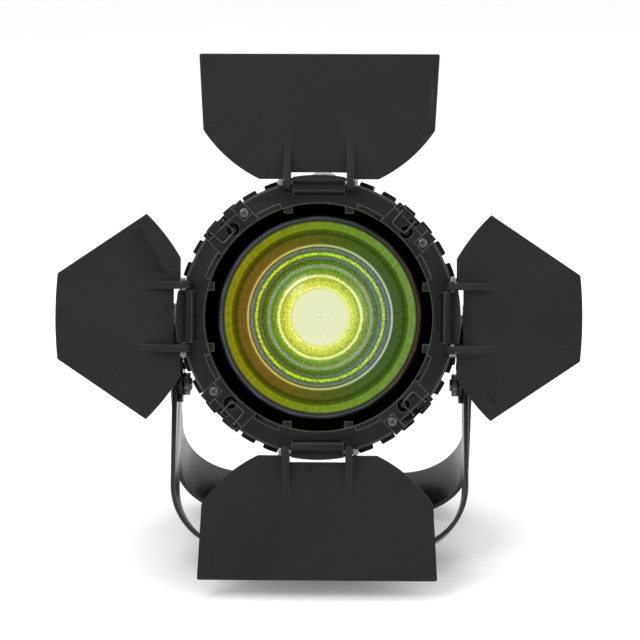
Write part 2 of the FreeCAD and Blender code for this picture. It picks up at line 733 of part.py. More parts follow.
def hinge_nuts():
    nuts = []
    end, thick = size.arm_start + size.arm_thick + 0.35, 2.6
    for name in QUARTERS:
        line = quarter(name) * shift(-end.value - thick, -(size.frame_front + size.pin_ahead).value,
                                     size.pin_circle.value) * ALONG_X
        nuts.append(without(hexagon(5.5, thick, line), rod(size.pin_radius, thick, line)))
    return group(nuts, "hinge_nuts")


def leaf(name, outline, marks, offset):
    """A barn-door leaf, drawn as the top one: a moulded plate with two ribbed hinge arms."""
    body = new_body(f"leaf_{name}", quarter(name))
    pin_y = -(size.frame_front + size.pin_ahead)
    plate_front = pin_y + offset
    extrude(body, sketch(body, "XZ_Plane", [outline], lift=-plate_front - size.leaf_thick), size.leaf_thick)
    soften(body, size.corner_round, lambda edge: is_outer_corner(edge))
    cut(body, sketch(body, "XZ_Plane", [circle(x, z, size.mark_radius) for x, z in marks],
                     lift=-plate_front + 1), size.mark_depth + 1)
    pin_z, eye = size.pin_circle, size.eye_radius
    profile = [
        (pin_y - eye, pin_z), (pin_y - eye, pin_z + 2), (pin_y + 0.5, pin_z + 10),
        (plate_front, size.leaf_inner + size.rib_reach), (plate_front + 1, size.leaf_inner + size.rib_reach),
        (plate_front + 1, size.leaf_inner), (pin_y + eye, size.leaf_inner - 0.4),
        (pin_y + eye, pin_z, eye, -1), (pin_y, pin_z - eye, eye, -1)]
    for side in (-1, 1):
        start = size.arm_start if side > 0 else -size.arm_start - size.arm_thick
        extrude(body, sketch(body, "YZ_Plane", [profile], lift=start), size.arm_thick)
    cut(body, sketch(body, "YZ_Plane", [circle(pin_y, pin_z, size.pin_bore)]),
        (size.arm_start + size.arm_thick) * 2 + 2, middle=True)
    return body


def is_outer_corner(edge):
    """True for the short edges through the plate at the corners of its outer side."""
    box = edge.BoundBox
    return box.XLength < 0.01 and box.ZLength < 0.01 and box.ZMin > size.leaf_outer.value - 3


def wide_outline():
    """The top and bottom leaf: a long outer side, leaning flanks and rounded shoulders."""
    return [(-size.flat_half, size.leaf_inner), (-size.notch_half, size.leaf_inner),
            (-size.notch_half, size.notch_edge), (size.notch_half, size.notch_edge),
            (size.notch_half, size.leaf_inner), (size.flat_half, size.leaf_inner, size.wide_arc, 1),
            (size.wide_waist, size.wide_waist_at), (size.wide_half, size.leaf_outer),
            (-size.wide_half, size.leaf_outer), (-size.wide_waist, size.wide_waist_at, size.wide_arc, 1)]


def tall_outline():
    """The left and right leaf: widest near the hinge and narrowing to its outer side."""
    return [(-size.tall_flat, size.leaf_inner), (-size.notch_half, size.leaf_inner),
            (-size.notch_half, size.notch_edge), (size.notch_half, size.notch_edge),
            (size.notch_half, size.leaf_inner), (size.tall_flat, size.leaf_inner, size.tall_arc, 1),
            (size.tall_apex, size.tall_apex_at),
            (size.tall_half, size.leaf_outer - 1, size.tall_bow, 1),
            (-size.tall_half, size.leaf_outer - 1),
            (-size.tall_apex, size.tall_apex_at, size.tall_arc, 1)]


WIDE_MARKS = [(-69, 157), (0, 157), (69, 157), (-66, 117.5), (66, 117.5), (0, 95),
              (-28.5, 90.5), (28.5, 90.5)]
TALL_MARKS = [(-28, 91), (28, 91), (0, 96), (-56, 107), (56, 107), (-22, 157), (22, 157), (0, 157)]


# ---------------------------------------------------------------- zoom ring, barrel and lens

def zoom_ring():
    """The toothed grip ring behind the barn-door frame."""
    body = new_body("zoom_ring", HEAD)
    front, back = -size.ring_front, -size.ring_back
    web = -(size.frame_front - size.frame_deep - size.flange_thick) + 0.4
    turn(body, [(front, size.barrel_flange + 0.5), (front, size.ring_root - 1), (front + 1, size.ring_root),
                (back - 1, size.ring_root), (back, size.ring_root - 1), (back, size.sleeve_outer),
                (web, size.sleeve_outer), (web, size.barrel_flange + 0.5)])
    half = math.radians(size.tooth_angle.value / 2)
    crest = half * 0.86
    inner, outer = size.ring_root - 2, size.ring_tip
    tooth = [(-inner * math.sin(half), inner * math.cos(half)),
             (inner * math.sin(half), inner * math.cos(half)),
             (outer * math.sin(crest), outer * math.cos(crest), outer, 1),
             (-outer * math.sin(crest), outer * math.cos(crest))]
    single = extrude(body, sketch(body, "XZ_Plane", [tooth], lift=size.ring_back + 1),
                     size.ring_front - size.ring_back - 2)
    around(body, [single], int(size.tooth_count.value))
    return body


def zoom_sleeve():
    """The sleeve inside the grip ring, with three helical cam slots for the guide pins."""
    sweep = 2 * size.zoom_half_turn.value + 6
    travel_per_degree = size.zoom_half_travel.value / size.zoom_half_turn.value
    body = new_body("zoom_sleeve", HEAD * spin(Y_AXIS, -sweep / 2))
    start = -(size.frame_front - size.frame_deep - size.flange_thick) + 0.4
    turn(body, [(start, size.sleeve_inner), (start, size.sleeve_outer),
                (-size.sleeve_end, size.sleeve_outer), (-size.sleeve_end, size.sleeve_inner)])
    doc.recompute()
    before = body.Shape.Volume
    middle = -size.guide_at.value - sweep / 2 * travel_per_degree
    half = size.guide_radius.value + size.slot_clear.value
    section = sketch(body, "YZ_Plane", [box_outline(middle - half, middle + half,
                                                    size.sleeve_inner - 1, size.sleeve_outer + 1)])
    slot = body.newObject("PartDesign::SubtractiveHelix", "cam_slot")
    slot.Profile = section
    slot.ReferenceAxis = (section, ["H_Axis"])
    slot.Mode = 1
    slot.Pitch = 360 * travel_per_degree
    slot.Turns = sweep / 360
    slot.LeftHanded = False
    doc.recompute()
    around(body, [slot], 3)
    doc.recompute()
    if not body.Shape.Volume < before - 100:
        raise RuntimeError("the cam slots are not cut")
    return body


def front_barrel():
    """The fixed tube that the lens carriage slides in, with three straight guide slots."""
    body = new_body("front_barrel", HEAD)
    front = -(size.frame_front - size.frame_deep)
    flange = front + size.flange_thick
    turn(body, [(front, size.barrel_inner), (front, size.barrel_flange), (flange, size.barrel_flange),
                (flange, size.barrel_outer), (size.barrel_end - 3, size.barrel_outer),
                (size.barrel_end - 3, size.shell_inner), (size.barrel_end, size.shell_inner),
                (size.barrel_end, size.barrel_inner)])
    half = size.guide_radius + size.slot_clear
    low, high = -size.guide_at - size.zoom_half_travel, size.zoom_half_travel - size.guide_at
    slot = cut(body, sketch(body, "XY_Plane", [[
        (-half, high), (-half, low, half, 1), (half, low), (half, high, half, 1)]]), 90, reverse=True)
    around(body, [slot], 3)
    return body


def lens_carriage():
    """The sliding cup that holds the lens."""
    body = new_body("lens_carriage", HEAD)
    front, back = -size.carriage_front, -size.carriage_back
    seat, lip = -size.lens_back, 2
    turn(body, [(front, size.carriage_inner), (front, size.carriage_outer), (back, size.carriage_outer),
                (back, size.carriage_inner), (seat + lip, size.carriage_inner),
                (seat + lip, size.lens_clear + 1), (seat, size.lens_clear + 1),
                (seat, size.carriage_inner)])
    seat_radius = size.guide_radius + 0.02
    hole = cut(body, sketch(body, "XY_Plane", [circle(0, -size.guide_at, seat_radius)]),
               size.carriage_outer + 1, reverse=True)
    around(body, [hole], 3)
    return body


def guide_pins():
    pins = []
    foot = size.carriage_inner + 0.5
    for number in range(3):
        line = HEAD * spin(Y_AXIS, 120 * number) * shift(y=-size.guide_at.value, z=foot.value)
        pins.append(rod(size.guide_radius, size.guide_tip - foot, line))
    return group(pins, "guide_pins")


def lens():
    """A stepped fresnel lens: each zone keeps the curve of one thick convex lens."""
    body = new_body("lens", HEAD)
    curve = size.lens_curve

    def sag(radius):
        return curve.value - math.sqrt(curve.value ** 2 - radius ** 2)

    flat_spot = 0.4
    edges = [flat_spot - 0.15, size.first_zone.value]
    while edges[-1] + size.zone_width.value * 1.2 < size.lens_clear.value:
        edges.append(edges[-1] + size.zone_width.value)
    edges.append(size.lens_clear.value - 0.4)
    face = -(size.lens_back + size.lens_base)
    corners = [(-size.lens_back, 0), (face - (sag(edges[1]) - sag(edges[0])), 0)]
    for inner, outer in zip(edges, edges[1:]):
        crest = face - (sag(outer) - sag(inner))
        corners.append((crest, inner + 0.15, curve, -1))
        corners.append((face, outer))
    corners += [(face, size.lens_flange), (-size.lens_back, size.lens_flange)]
    turn(body, corners)
    return body


def lens_rim():
    """The bright ring that clamps the lens in its carriage."""
    body = new_body("lens_rim", HEAD)
    seat = -(size.lens_back + size.lens_base)
    turn(body, [(seat, size.rim_bore), (-size.rim_front + 1.2, size.rim_bore),
                (-size.rim_front, size.rim_bore + 1), (-size.rim_front, size.rim_crest),
                (-size.rim_front + 0.8, size.rim_crest + 0.2), (-size.rim_front + 0.8, size.carriage_inner),
                (seat, size.carriage_inner)])
    return body


# ---------------------------------------------------------------- housing

def front_housing():
    """The cast front shell with cooling ribs over its top and underside."""
    body = new_body("front_housing", HEAD)
    front, back = -size.shell_front, size.shell_split
    turn(body, [(front, size.shell_inner), (front, size.shell_outer), (back, size.shell_outer),
                (back, size.shell_inner)])
    ribs_each, spread = 9, 104
    half, base = size.rib_width / 2, size.shell_outer - 1
    for side in (1, -1):
        start = math.radians(-spread / 2)
        middle = [side * math.sin(start), side * math.cos(start)]
        across = [middle[1], -middle[0]]
        top = size.shell_outer + size.rib_height
        outline = [(base * middle[0] + half * a * across[0], base * middle[1] + half * a * across[1])
                   for a in (-1, 1)]
        outline += [(top * middle[0] + half * a * 0.7 * across[0],
                     top * middle[1] + half * a * 0.7 * across[1]) for a in (1, -1)]
        rib = extrude(body, sketch(body, "XZ_Plane", [outline], lift=-(back - 4)),
                      size.shell_split + size.shell_front - 8)
        around(body, [rib], ribs_each, angle=spread)
    return body


EYE_HALF, EYE_AT, EYE_WIRE, EYE_RISE = 11, 58, 3, 16


def rear_housing():
    """The rear shell, slotted all round where the fan blows out."""
    body = new_body("rear_housing", HEAD)
    front, back = size.shell_split, size.shell_end
    turn(body, [(front, size.shell_inner), (front, size.shell_outer), (back, size.shell_outer),
                (back, size.shell_inner)])
    legs = [circle(side * EYE_HALF, EYE_AT, EYE_WIRE + 0.02) for side in (-1, 1)]
    cut(body, sketch(body, "XY_Plane", legs), size.shell_outer + 1, reverse=True)
    vents, half = 24, size.vent_width / 2
    middle = (size.shell_split + size.shell_end) / 2 + 4
    low, high = middle - size.vent_length / 2, middle + size.vent_length / 2
    first = new_slot(body, half, low, high)
    around(body, [first], vents)
    return body


def new_slot(body, half, low, high):
    outline = [(-half, high), (-half, low, half, 1), (half, low), (half, high, half, 1)]
    slot = sketch(body, "XY_Plane", [outline])
    return cut(body, slot, 120, reverse=True)


PANEL_HOLES = {
    "dmx_in": (38, 4, 12), "dmx_out": (-38, 4, 12), "power_in": (24, -38, 13), "power_out": (-24, -38, 13),
    "fuse_holder": (0, 4, 7),
}
BUTTON_SPOTS = {"mode": 30, "up": 10, "down": -10, "enter": -30}
BUTTON_LEVEL, BUTTON_HALF = 30, 4
PIN_SPOTS, PIN_RADIUS = [(0, 4.5), (-4.2, -2.5), (4.2, -2.5)], 1.2
WINDOW = (0, 50, 24, 8)     # centre x and z, half width, half height


def rear_panel():
    """The flat back plate with its window, buttons, sockets and fuse."""
    body = new_body("rear_panel", HEAD)
    extrude(body, sketch(body, "XZ_Plane", [circle(0, 0, size.panel_radius)],
                         lift=-size.shell_end - size.panel_thick), size.panel_thick)
    holes = [circle(x, z, radius) for x, z, radius in PANEL_HOLES.values()]
    holes += [box_outline(x - BUTTON_HALF, x + BUTTON_HALF, BUTTON_LEVEL - BUTTON_HALF,
                          BUTTON_LEVEL + BUTTON_HALF) for x in BUTTON_SPOTS.values()]
    x, z, wide, tall = WINDOW
    holes.append(box_outline(x - wide, x + wide, z - tall, z + tall))
    cut(body, sketch(body, "XZ_Plane", holes, lift=-size.shell_end), size.panel_thick)
    return body


def panel_screws():
    screws = []
    back = (size.shell_end + size.panel_thick).value
    for number in range(6):
        spot = HEAD * polar(73, 30 + 60 * number, back)
        screws.append(cross_screw(2.8, 1.8, spot * ALONG_Y, 20 * number))
    return group(screws, "panel_screws")


def display_window():
    x, z, wide, tall = WINDOW
    body = new_body("display_window", HEAD)
    back = size.shell_end + size.panel_thick
    extrude(body, sketch(body, "XZ_Plane", [box_outline(x - wide, x + wide, z - tall, z + tall)],
                         lift=-back + 0.4), 4)
    return body


def button(name):
    """A square push button that moves through its window in the back plate."""
    x, half = BUTTON_SPOTS[name], BUTTON_HALF - 0.35
    body = new_body(f"button_{name}", HEAD)
    proud = 2.2
    extrude(body, sketch(body, "XZ_Plane", [box_outline(x - half, x + half, BUTTON_LEVEL - half,
                                                        BUTTON_LEVEL + half)],
                         lift=-(size.shell_end + size.panel_thick + proud)), 8)
    back = (size.shell_end + size.panel_thick).value + proud
    soften(body, 0.8, lambda edge: edge.BoundBox.YMin > back - 0.01)
    return body


def socket(name, posts):
    """A flanged round panel socket; posts lists what stands in it as (x, z, radius)."""
    x, z, radius = PANEL_HOLES[name]
    back = size.shell_end + size.panel_thick
    body = new_body(name, HEAD)
    extrude(body, sketch(body, "XZ_Plane", [box_outline(x - 13, x + 13, z - 15.5, z + 15.5)],
                         lift=-back - 2), 2)
    soften(body, 2.5, lambda edge: edge.BoundBox.YLength > 1.9 and edge.BoundBox.XLength < 0.01)
    extrude(body, sketch(body, "XZ_Plane", [circle(x, z, radius)], lift=-back), 12)
    cut(body, sketch(body, "XZ_Plane", [circle(x, z, radius - 3)], lift=-back - 2), 11.5, reverse=True)
    for post_x, post_z, post_radius in posts:
        extrude(body, sketch(body, "XZ_Plane", [circle(x + post_x, z + post_z, post_radius)],
                             lift=-back), 11)
    return body


def contact_socket(name):
    """A panel socket whose insert is nearly flush, with three holes for a plug's pins."""
    body = socket(name, [])
    x, z, radius = PANEL_HOLES[name]
    back = size.shell_end + size.panel_thick
    extrude(body, sketch(body, "XZ_Plane", [circle(x, z, radius - 4.5)], lift=-back - 1), 12)
    cut(body, sketch(body, "XZ_Plane", [circle(x + pin_x, z + pin_z, PIN_RADIUS + 0.3)
                                        for pin_x, pin_z in PIN_SPOTS], lift=-back - 2), 9, reverse=True)
    return body


def fuse_holder():
    x, z, radius = PANEL_HOLES["fuse_holder"]
    """A screw cap with a coin slot, on a stem that passes through the back plate."""
    cap_thick, stem_length, slot_deep = 3, 12, 1.6
    line = HEAD * shift(x, (size.shell_end + size.panel_thick).value, z) * ALONG_Y
    cap = rod(radius + 1.6, cap_thick, line)
    stem = rod(radius, stem_length, line * shift(z=-stem_length))
    slot = block(11, 1.4, slot_deep, line * shift(z=cap_thick - slot_deep + 0.2))
    return without(fused([cap, stem]), slot, "fuse_holder")


def safety_eye():
    """A steel loop on top of the rear shell for a safety cable."""
    half, base = EYE_HALF, size.shell_inner.value + 1
    body = new_body("safety_eye", HEAD)
    path = body.newObject("Sketcher::SketchObject", "eye_path")
    path.AttachmentSupport = [(origin_feature(body, "XZ_Plane"), "")]
    path.MapMode = "FlatFace"
    path.AttachmentOffset = shift(z=-EYE_AT)
    straight = size.shell_outer.value + EYE_RISE - half
    path.addGeometry(Part.LineSegment(Vector(-half, base, 0), Vector(-half, straight, 0)))
    path.addGeometry(Part.Arc(Vector(-half, straight, 0), Vector(0, straight + half, 0),
                              Vector(half, straight, 0)))
    path.addGeometry(Part.LineSegment(Vector(half, straight, 0), Vector(half, base, 0)))
    section = sketch(body, "XY_Plane", [circle(-half, EYE_AT, EYE_WIRE)], lift=base)
    pipe = body.newObject("PartDesign::AdditivePipe", "eye_pipe")
    pipe.Profile = section
    pipe.Spine = path
    return body


# ---------------------------------------------------------------- light engine and cooling

def light_baffle():
    """The black ring that closes the barrel round the reflector."""
    body = new_body("light_baffle", HEAD)
    start = size.barrel_end - 4
    outside = size.barrel_inner - 0.05
    turn(body, [(start, size.reflector_wide + 0.5), (start, outside),
                (start + 1.5, outside), (start + 1.5, size.reflector_wide + 0.5)])
    return body


def reflector():
    """A thin spun cone between the emitter and the lens."""
    body = new_body("reflector", HEAD)
    front, back = Size.of(1.5), size.led_plane - 1.5
    thick = size.sheet_thick
    turn(body, [(front, size.reflector_wide - thick), (back, size.reflector_narrow),
                (back, size.reflector_narrow + thick * 1.5), (front + 1.5, size.reflector_wide + 0.5),
                (front + 1.5, size.reflector_wide + 6), (front, size.reflector_wide + 6)])
    return body


def led_emitter():
    body = new_body("led_emitter", HEAD)
    extrude(body, sketch(body, "XZ_Plane", [circle(0, 0, size.emitter_radius)], lift=-size.led_plane), 1.2)
    return body


def led_board():
    half = size.board_half
    body = new_body("led_board", HEAD)
    extrude(body, sketch(body, "XZ_Plane", [box_outline(-half, half, -half, half)],
                         lift=-size.led_plane - size.board_thick), size.board_thick)
    return body


def heat_sink():
    """A round base with straight fins, each as long as the round housing allows."""
    start = (size.led_plane + size.board_thick).value
    pieces = [rod(size.sink_radius, size.sink_base, HEAD * shift(y=start) * ALONG_Y)]
    reach, pitch, half_thick = size.sink_radius.value, size.fin_pitch.value, size.fin_thick.value / 2
    count = int((reach - 6) // pitch)
    for number in range(-count, count + 1):
        x = number * pitch
        tall = 2 * math.sqrt(reach ** 2 - (abs(x) + half_thick) ** 2)
        pieces.append(block(size.fin_thick, tall, size.fin_length + 0.5,
                            HEAD * shift(x, start + size.sink_base.value - 0.5) * ALONG_Y))
    return fused(pieces, "heat_sink")


def fan_frame():
    body = new_body("fan_frame", HEAD)
    half = size.fan_half
    outline = [box_outline(-half, half, -half, half), circle(0, 0, size.fan_bore)]
    extrude(body, sketch(body, "XZ_Plane", outline, lift=-size.fan_at - size.fan_thick), size.fan_thick)
    spoke = extrude(body, sketch(body, "XZ_Plane", [box_outline(-1.5, 1.5, 10, size.fan_bore + 1)],
                                 lift=-size.fan_at - size.fan_thick), 2)
    around(body, [spoke], 4)
    extrude(body, sketch(body, "XZ_Plane", [circle(0, 0, 13)], lift=-size.fan_at - size.fan_thick), 2)
    return body


def fan_rotor():
    """A hub with seven leaning blades."""
    start = (size.fan_at + 2).value
    deep = size.fan_thick.value - 6
    hub = rod(size.fan_hub, deep, HEAD * shift(y=start) * ALONG_Y)
    blades = []
    for number in range(7):
        line = HEAD * shift(y=start + deep / 2) * spin(Y_AXIS, 360 / 7 * number)
        blades.append(block(1.4, deep * 1.05, size.fan_tip - size.fan_hub + 1,
                            line * spin(Z_AXIS, 42) * shift(z=size.fan_hub.value - 1)))
    return fused([hub] + blades, "fan_rotor")


def driver_board():
    body = new_body("driver_board", HEAD)
    extrude(body, sketch(body, "XZ_Plane", [box_outline(-45, 45, -40, 40)],
                         lift=-(size.fan_at + size.fan_thick + 3.6)), size.board_thick)
    return body


# ---------------------------------------------------------------- the whole lamp

def build():
    inside = size.front_half - size.strap_thick - size.plate_thick
    gap = size.washer_gap
    parts = [
        front_bracket(), rear_bracket(), bracket_plates(), plate_bolts(), plate_nuts(), plate_rivets(),
        washers("pivot_washers", 12, size.block_out, inside - size.block_out - gap, PIVOT),
        washers("strap_washers", 12, size.front_half, 0.5 - gap, FRONT_ARMS),
        washers("knob_washers", 11, size.rear_half, size.knob_start - size.rear_half - gap, REAR_ARMS),
        pivot_blocks(), front_frame(), boss_screws(), clip_screws(), hinge_blocks(), hinge_bolts(),
        hinge_nuts(), zoom_ring(), zoom_sleeve(), front_barrel(), lens_carriage(), guide_pins(), lens(),
        lens_rim(), front_housing(), rear_housing(), rear_panel(), panel_screws(), display_window(),
        fuse_holder(), safety_eye(), light_baffle(), reflector(), led_emitter(), led_board(), heat_sink(),
        fan_frame(), fan_rotor(), driver_board()]
    for side in SIDES:
        parts += [tilt_knob(side), tilt_stud(side)]
    parts += [leaf(name, wide_outline(), WIDE_MARKS, size.wide_offset) for name in ("top", "bottom")]
    parts += [leaf(name, tall_outline(), TALL_MARKS, size.tall_offset) for name in ("left", "right")]
    parts += [clip_wire(number) for number in range(4)]
    parts += [button(name) for name in BUTTON_SPOTS]
    parts += [socket("dmx_in", [(x, z, PIN_RADIUS) for x, z in PIN_SPOTS]), contact_socket("dmx_out")]
    parts += [socket(name, [(0, 0, 4)]) for name in ("power_in", "power_out")]
    return parts


def check(parts):
    """Stop if anything in the document failed or a part is not sound."""
    doc.recompute()
    for item in doc.Objects:
        if "Invalid" in item.State or "Error" in item.State:
            raise RuntimeError(f"{item.Label} failed: {item.State}")
    for item in parts:
        if item.Shape.isNull() or not item.Shape.isValid() or not item.Shape.Solids:
            raise RuntimeError(f"{item.Label} is not a sound solid")


def export(parts):
    os.makedirs("parts", exist_ok=True)
    for item in parts:
        item.Shape.exportStep(os.path.join("parts", f"{item.Label}.step"))
        print(f"{item.Label:20s} {len(item.Shape.Solids):2d} solids {item.Shape.Volume / 1000:9.2f} cm3")


all_parts = build()
check(all_parts)
export(all_parts)
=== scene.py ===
import json
import math
import random

import bmesh
import bpy
from mathutils import Matrix, Vector

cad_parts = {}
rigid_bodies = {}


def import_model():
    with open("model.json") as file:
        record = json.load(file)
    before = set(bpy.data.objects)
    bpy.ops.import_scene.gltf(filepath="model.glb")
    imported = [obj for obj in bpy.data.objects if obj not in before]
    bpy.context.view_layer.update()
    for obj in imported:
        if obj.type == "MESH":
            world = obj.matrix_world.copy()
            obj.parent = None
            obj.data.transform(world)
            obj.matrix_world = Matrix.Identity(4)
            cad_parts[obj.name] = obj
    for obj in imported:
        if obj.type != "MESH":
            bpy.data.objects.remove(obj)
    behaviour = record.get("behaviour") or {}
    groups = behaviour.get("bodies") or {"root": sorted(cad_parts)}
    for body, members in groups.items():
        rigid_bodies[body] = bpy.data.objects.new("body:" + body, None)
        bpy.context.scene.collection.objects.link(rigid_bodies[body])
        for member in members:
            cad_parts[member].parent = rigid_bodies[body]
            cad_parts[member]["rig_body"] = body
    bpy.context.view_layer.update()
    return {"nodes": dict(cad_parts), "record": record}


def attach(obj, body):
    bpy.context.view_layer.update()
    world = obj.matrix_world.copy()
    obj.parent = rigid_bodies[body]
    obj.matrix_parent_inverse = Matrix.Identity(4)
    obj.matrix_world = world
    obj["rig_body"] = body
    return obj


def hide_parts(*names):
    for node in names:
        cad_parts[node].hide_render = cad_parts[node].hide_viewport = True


# The looks of a black fresnel spotlight with four barn-door leaves on two U brackets.
# Head parts are drawn in millimetres in the head's own frame: the optical axis is Y, the lens
# is at -Y, and Y = 0 is the plane of the tilt pivots. TO_ROW puts them in the row frame, in metres.

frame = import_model()
NODES = frame["nodes"]
BODY_OF = {name: obj["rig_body"] for name, obj in NODES.items()}
SLOT_OF = {entry["node"]: entry["material_slot"] for entry in frame["record"]["subparts"]}

MM = 0.001
PIVOT_SETBACK, PIVOT_HEIGHT, AXIS_RISE = -3.6, 139.9, 11.0
TILT = math.radians(-13.5)
HEAD = (Matrix.Translation((0, PIVOT_SETBACK, PIVOT_HEIGHT)) @ Matrix.Rotation(TILT, 4, "X")
        @ Matrix.Translation((0, 0, AXIS_RISE)))
TO_ROW = Matrix.Scale(MM, 4) @ HEAD
HEAD_ORIGIN = TO_ROW @ Vector((0, 0, 0))
FRAME_FRONT, PANEL_BACK = 90.0, 111.0


# ---------------------------------------------------------------- materials

def link(tree, source, target):
    tree.links.new(source, target)


def add_node(tree, kind, **values):
    """A shader node; a value named in_Name sets the input of that name."""
    made = tree.nodes.new(kind)
    for name, value in values.items():
        if name.startswith("in_"):
            made.inputs[name[3:].replace("_", " ")].default_value = value
        else:
            setattr(made, name, value)
    return made


def maths(tree, operation, *inputs, clamp=False):
    """A Math node's output; each input is a number or another node's output."""
    made = add_node(tree, "ShaderNodeMath", operation=operation, use_clamp=clamp)
    for socket, item in zip(made.inputs, inputs):
        if isinstance(item, (int, float)):
            socket.default_value = item
        else:
            link(tree, item, socket)
    return made.outputs[0]


def grey(level, warm=0.0):
    """A neutral colour, or one a little warmer."""
    return (level * (1 + warm), level, level * (1 - warm), 1)


def display(red, green, blue):
    """A colour given as screen values from 0 to 255."""
    return tuple((channel / 255) ** 2.2 for channel in (red, green, blue)) + (1,)


def new_material(name, metal=0.0, specular=0.5, coat=0.0, coat_rough=0.18):
    made = bpy.data.materials.new(name)
    made.use_nodes = True
    shader = made.node_tree.nodes["Principled BSDF"]
    shader.inputs["Metallic"].default_value = metal
    shader.inputs["Specular IOR Level"].default_value = specular
    shader.inputs["Coat Weight"].default_value = coat
    shader.inputs["Coat Roughness"].default_value = coat_rough
    return made, made.node_tree, shader


def surface(name, low, high, rough, grain, relief, mottle=26.0, stretch=None, scratches=0.0, **shine):
    """A painted, moulded or metal finish with mottled colour and a fine grain.

    low and high are the colours between which it wanders, rough is the range of its roughness,
    grain is the size of its texture in millimetres and relief that texture's depth.
    """
    made, tree, shader = new_material(name, **shine)
    place = add_node(tree, "ShaderNodeTexCoord").outputs["Object"]
    if stretch:
        mapping = add_node(tree, "ShaderNodeMapping", in_Scale=stretch)
        link(tree, place, mapping.inputs["Vector"])
        place = mapping.outputs["Vector"]
    cloud = add_node(tree, "ShaderNodeTexNoise", in_Scale=1000 / mottle, in_Detail=5.0, in_Roughness=0.62)
    fine = add_node(tree, "ShaderNodeTexNoise", in_Scale=1000 / grain, in_Detail=2.0, in_Roughness=0.7)
    pits = add_node(tree, "ShaderNodeTexVoronoi", in_Scale=700 / grain, feature="SMOOTH_F1")
    for texture in (cloud, fine, pits):
        link(tree, place, texture.inputs["Vector"])
    wander = maths(tree, "MULTIPLY", cloud.outputs["Fac"], 0.5)
    tone = maths(tree, "MULTIPLY_ADD", fine.outputs["Fac"], 0.9, wander)
    ramp = add_node(tree, "ShaderNodeValToRGB")
    first, last = ramp.color_ramp.elements
    first.position, first.color, last.position, last.color = 0.45, low, 0.95, high
    link(tree, tone, ramp.inputs["Fac"])
    link(tree, ramp.outputs["Color"], shader.inputs["Base Color"])
    spread = add_node(tree, "ShaderNodeMapRange", in_From_Min=0.3, in_From_Max=0.72,
                      in_To_Min=rough[0], in_To_Max=rough[1])
    link(tree, cloud.outputs["Fac"], spread.inputs["Value"])
    roughness = spread.outputs["Result"]
    if scratches:
        lines = add_node(tree, "ShaderNodeTexNoise", in_Scale=240.0, in_Detail=3.0, in_Distortion=2.5)
        link(tree, place, lines.inputs["Vector"])
        worn = add_node(tree, "ShaderNodeMapRange", in_From_Min=0.60, in_From_Max=0.66,
                        in_To_Min=0.0, in_To_Max=scratches)
        link(tree, lines.outputs["Fac"], worn.inputs["Value"])
        roughness = maths(tree, "SUBTRACT", roughness, worn.outputs["Result"], clamp=True)
    link(tree, roughness, shader.inputs["Roughness"])
    bump = add_node(tree, "ShaderNodeBump", in_Strength=0.9, in_Distance=relief * MM)
    link(tree, maths(tree, "ADD", fine.outputs["Fac"], pits.outputs["Distance"]), bump.inputs["Height"])
    link(tree, bump.outputs["Normal"], shader.inputs["Normal"])
    return made


def head_place(tree):
    """Where a point is in the head's own frame, in metres, as a shader output."""
    place = add_node(tree, "ShaderNodeTexCoord").outputs["Object"]
    mapping = add_node(tree, "ShaderNodeMapping", vector_type="TEXTURE", in_Location=tuple(HEAD_ORIGIN),
                       in_Rotation=(TILT, 0, 0))
    link(tree, place, mapping.inputs["Vector"])
    return mapping.outputs["Vector"]


# Colour of the lit lens from its middle outwards: radius in mm, then how it looks on its warm
# side, towards -X, and on its cool side.
LENS_RINGS = [
    (0.0, (232, 238, 190), (232, 238, 190)), (17.6, (232, 238, 188), (232, 238, 188)),
    (18.4, (214, 222, 60), (222, 232, 96)), (19.3, (240, 240, 150), (240, 244, 160)),
    (20.2, (226, 230, 50), (214, 226, 70)), (22.6, (205, 210, 10), (190, 205, 40)),
    (25.3, (150, 172, 0), (140, 165, 30)), (26.0, (238, 238, 140), (236, 240, 150)),
    (27.1, (236, 236, 130), (225, 235, 130)), (27.7, (125, 155, 0), (120, 150, 30)),
    (31.6, (88, 130, 8), (105, 140, 40)), (32.3, (140, 150, 115), (150, 155, 130)),
    (33.6, (146, 152, 132), (160, 160, 140)), (34.3, (84, 120, 14), (96, 130, 46)),
    (36.4, (78, 104, 20), (86, 112, 62)), (36.9, (48, 60, 10), (70, 92, 70)),
    (37.6, (104, 102, 62), (104, 124, 118)), (39.4, (96, 100, 44), (92, 116, 96)),
    (40.2, (190, 215, 50), (176, 205, 80)), (41.3, (196, 220, 54), (186, 212, 92)),
    (41.9, (80, 96, 60), (84, 104, 80)), (44.2, (122, 124, 122), (112, 120, 118)),
    (45.2, (64, 60, 34), (70, 76, 66)), (45.7, (214, 192, 92), (196, 206, 190)),
    (46.5, (206, 176, 78), (176, 190, 178)), (47.1, (116, 92, 40), (66, 92, 44)),
    (52.7, (104, 84, 24), (68, 92, 44)), (53.3, (62, 62, 10), (52, 72, 22)),
    (56.2, (84, 82, 14), (66, 90, 36)), (57.0, (128, 128, 20), (106, 138, 56)),
    (60.8, (134, 134, 24), (118, 146, 70)), (61.6, (46, 50, 30), (44, 52, 40))]
LENS_EDGE = 62.0


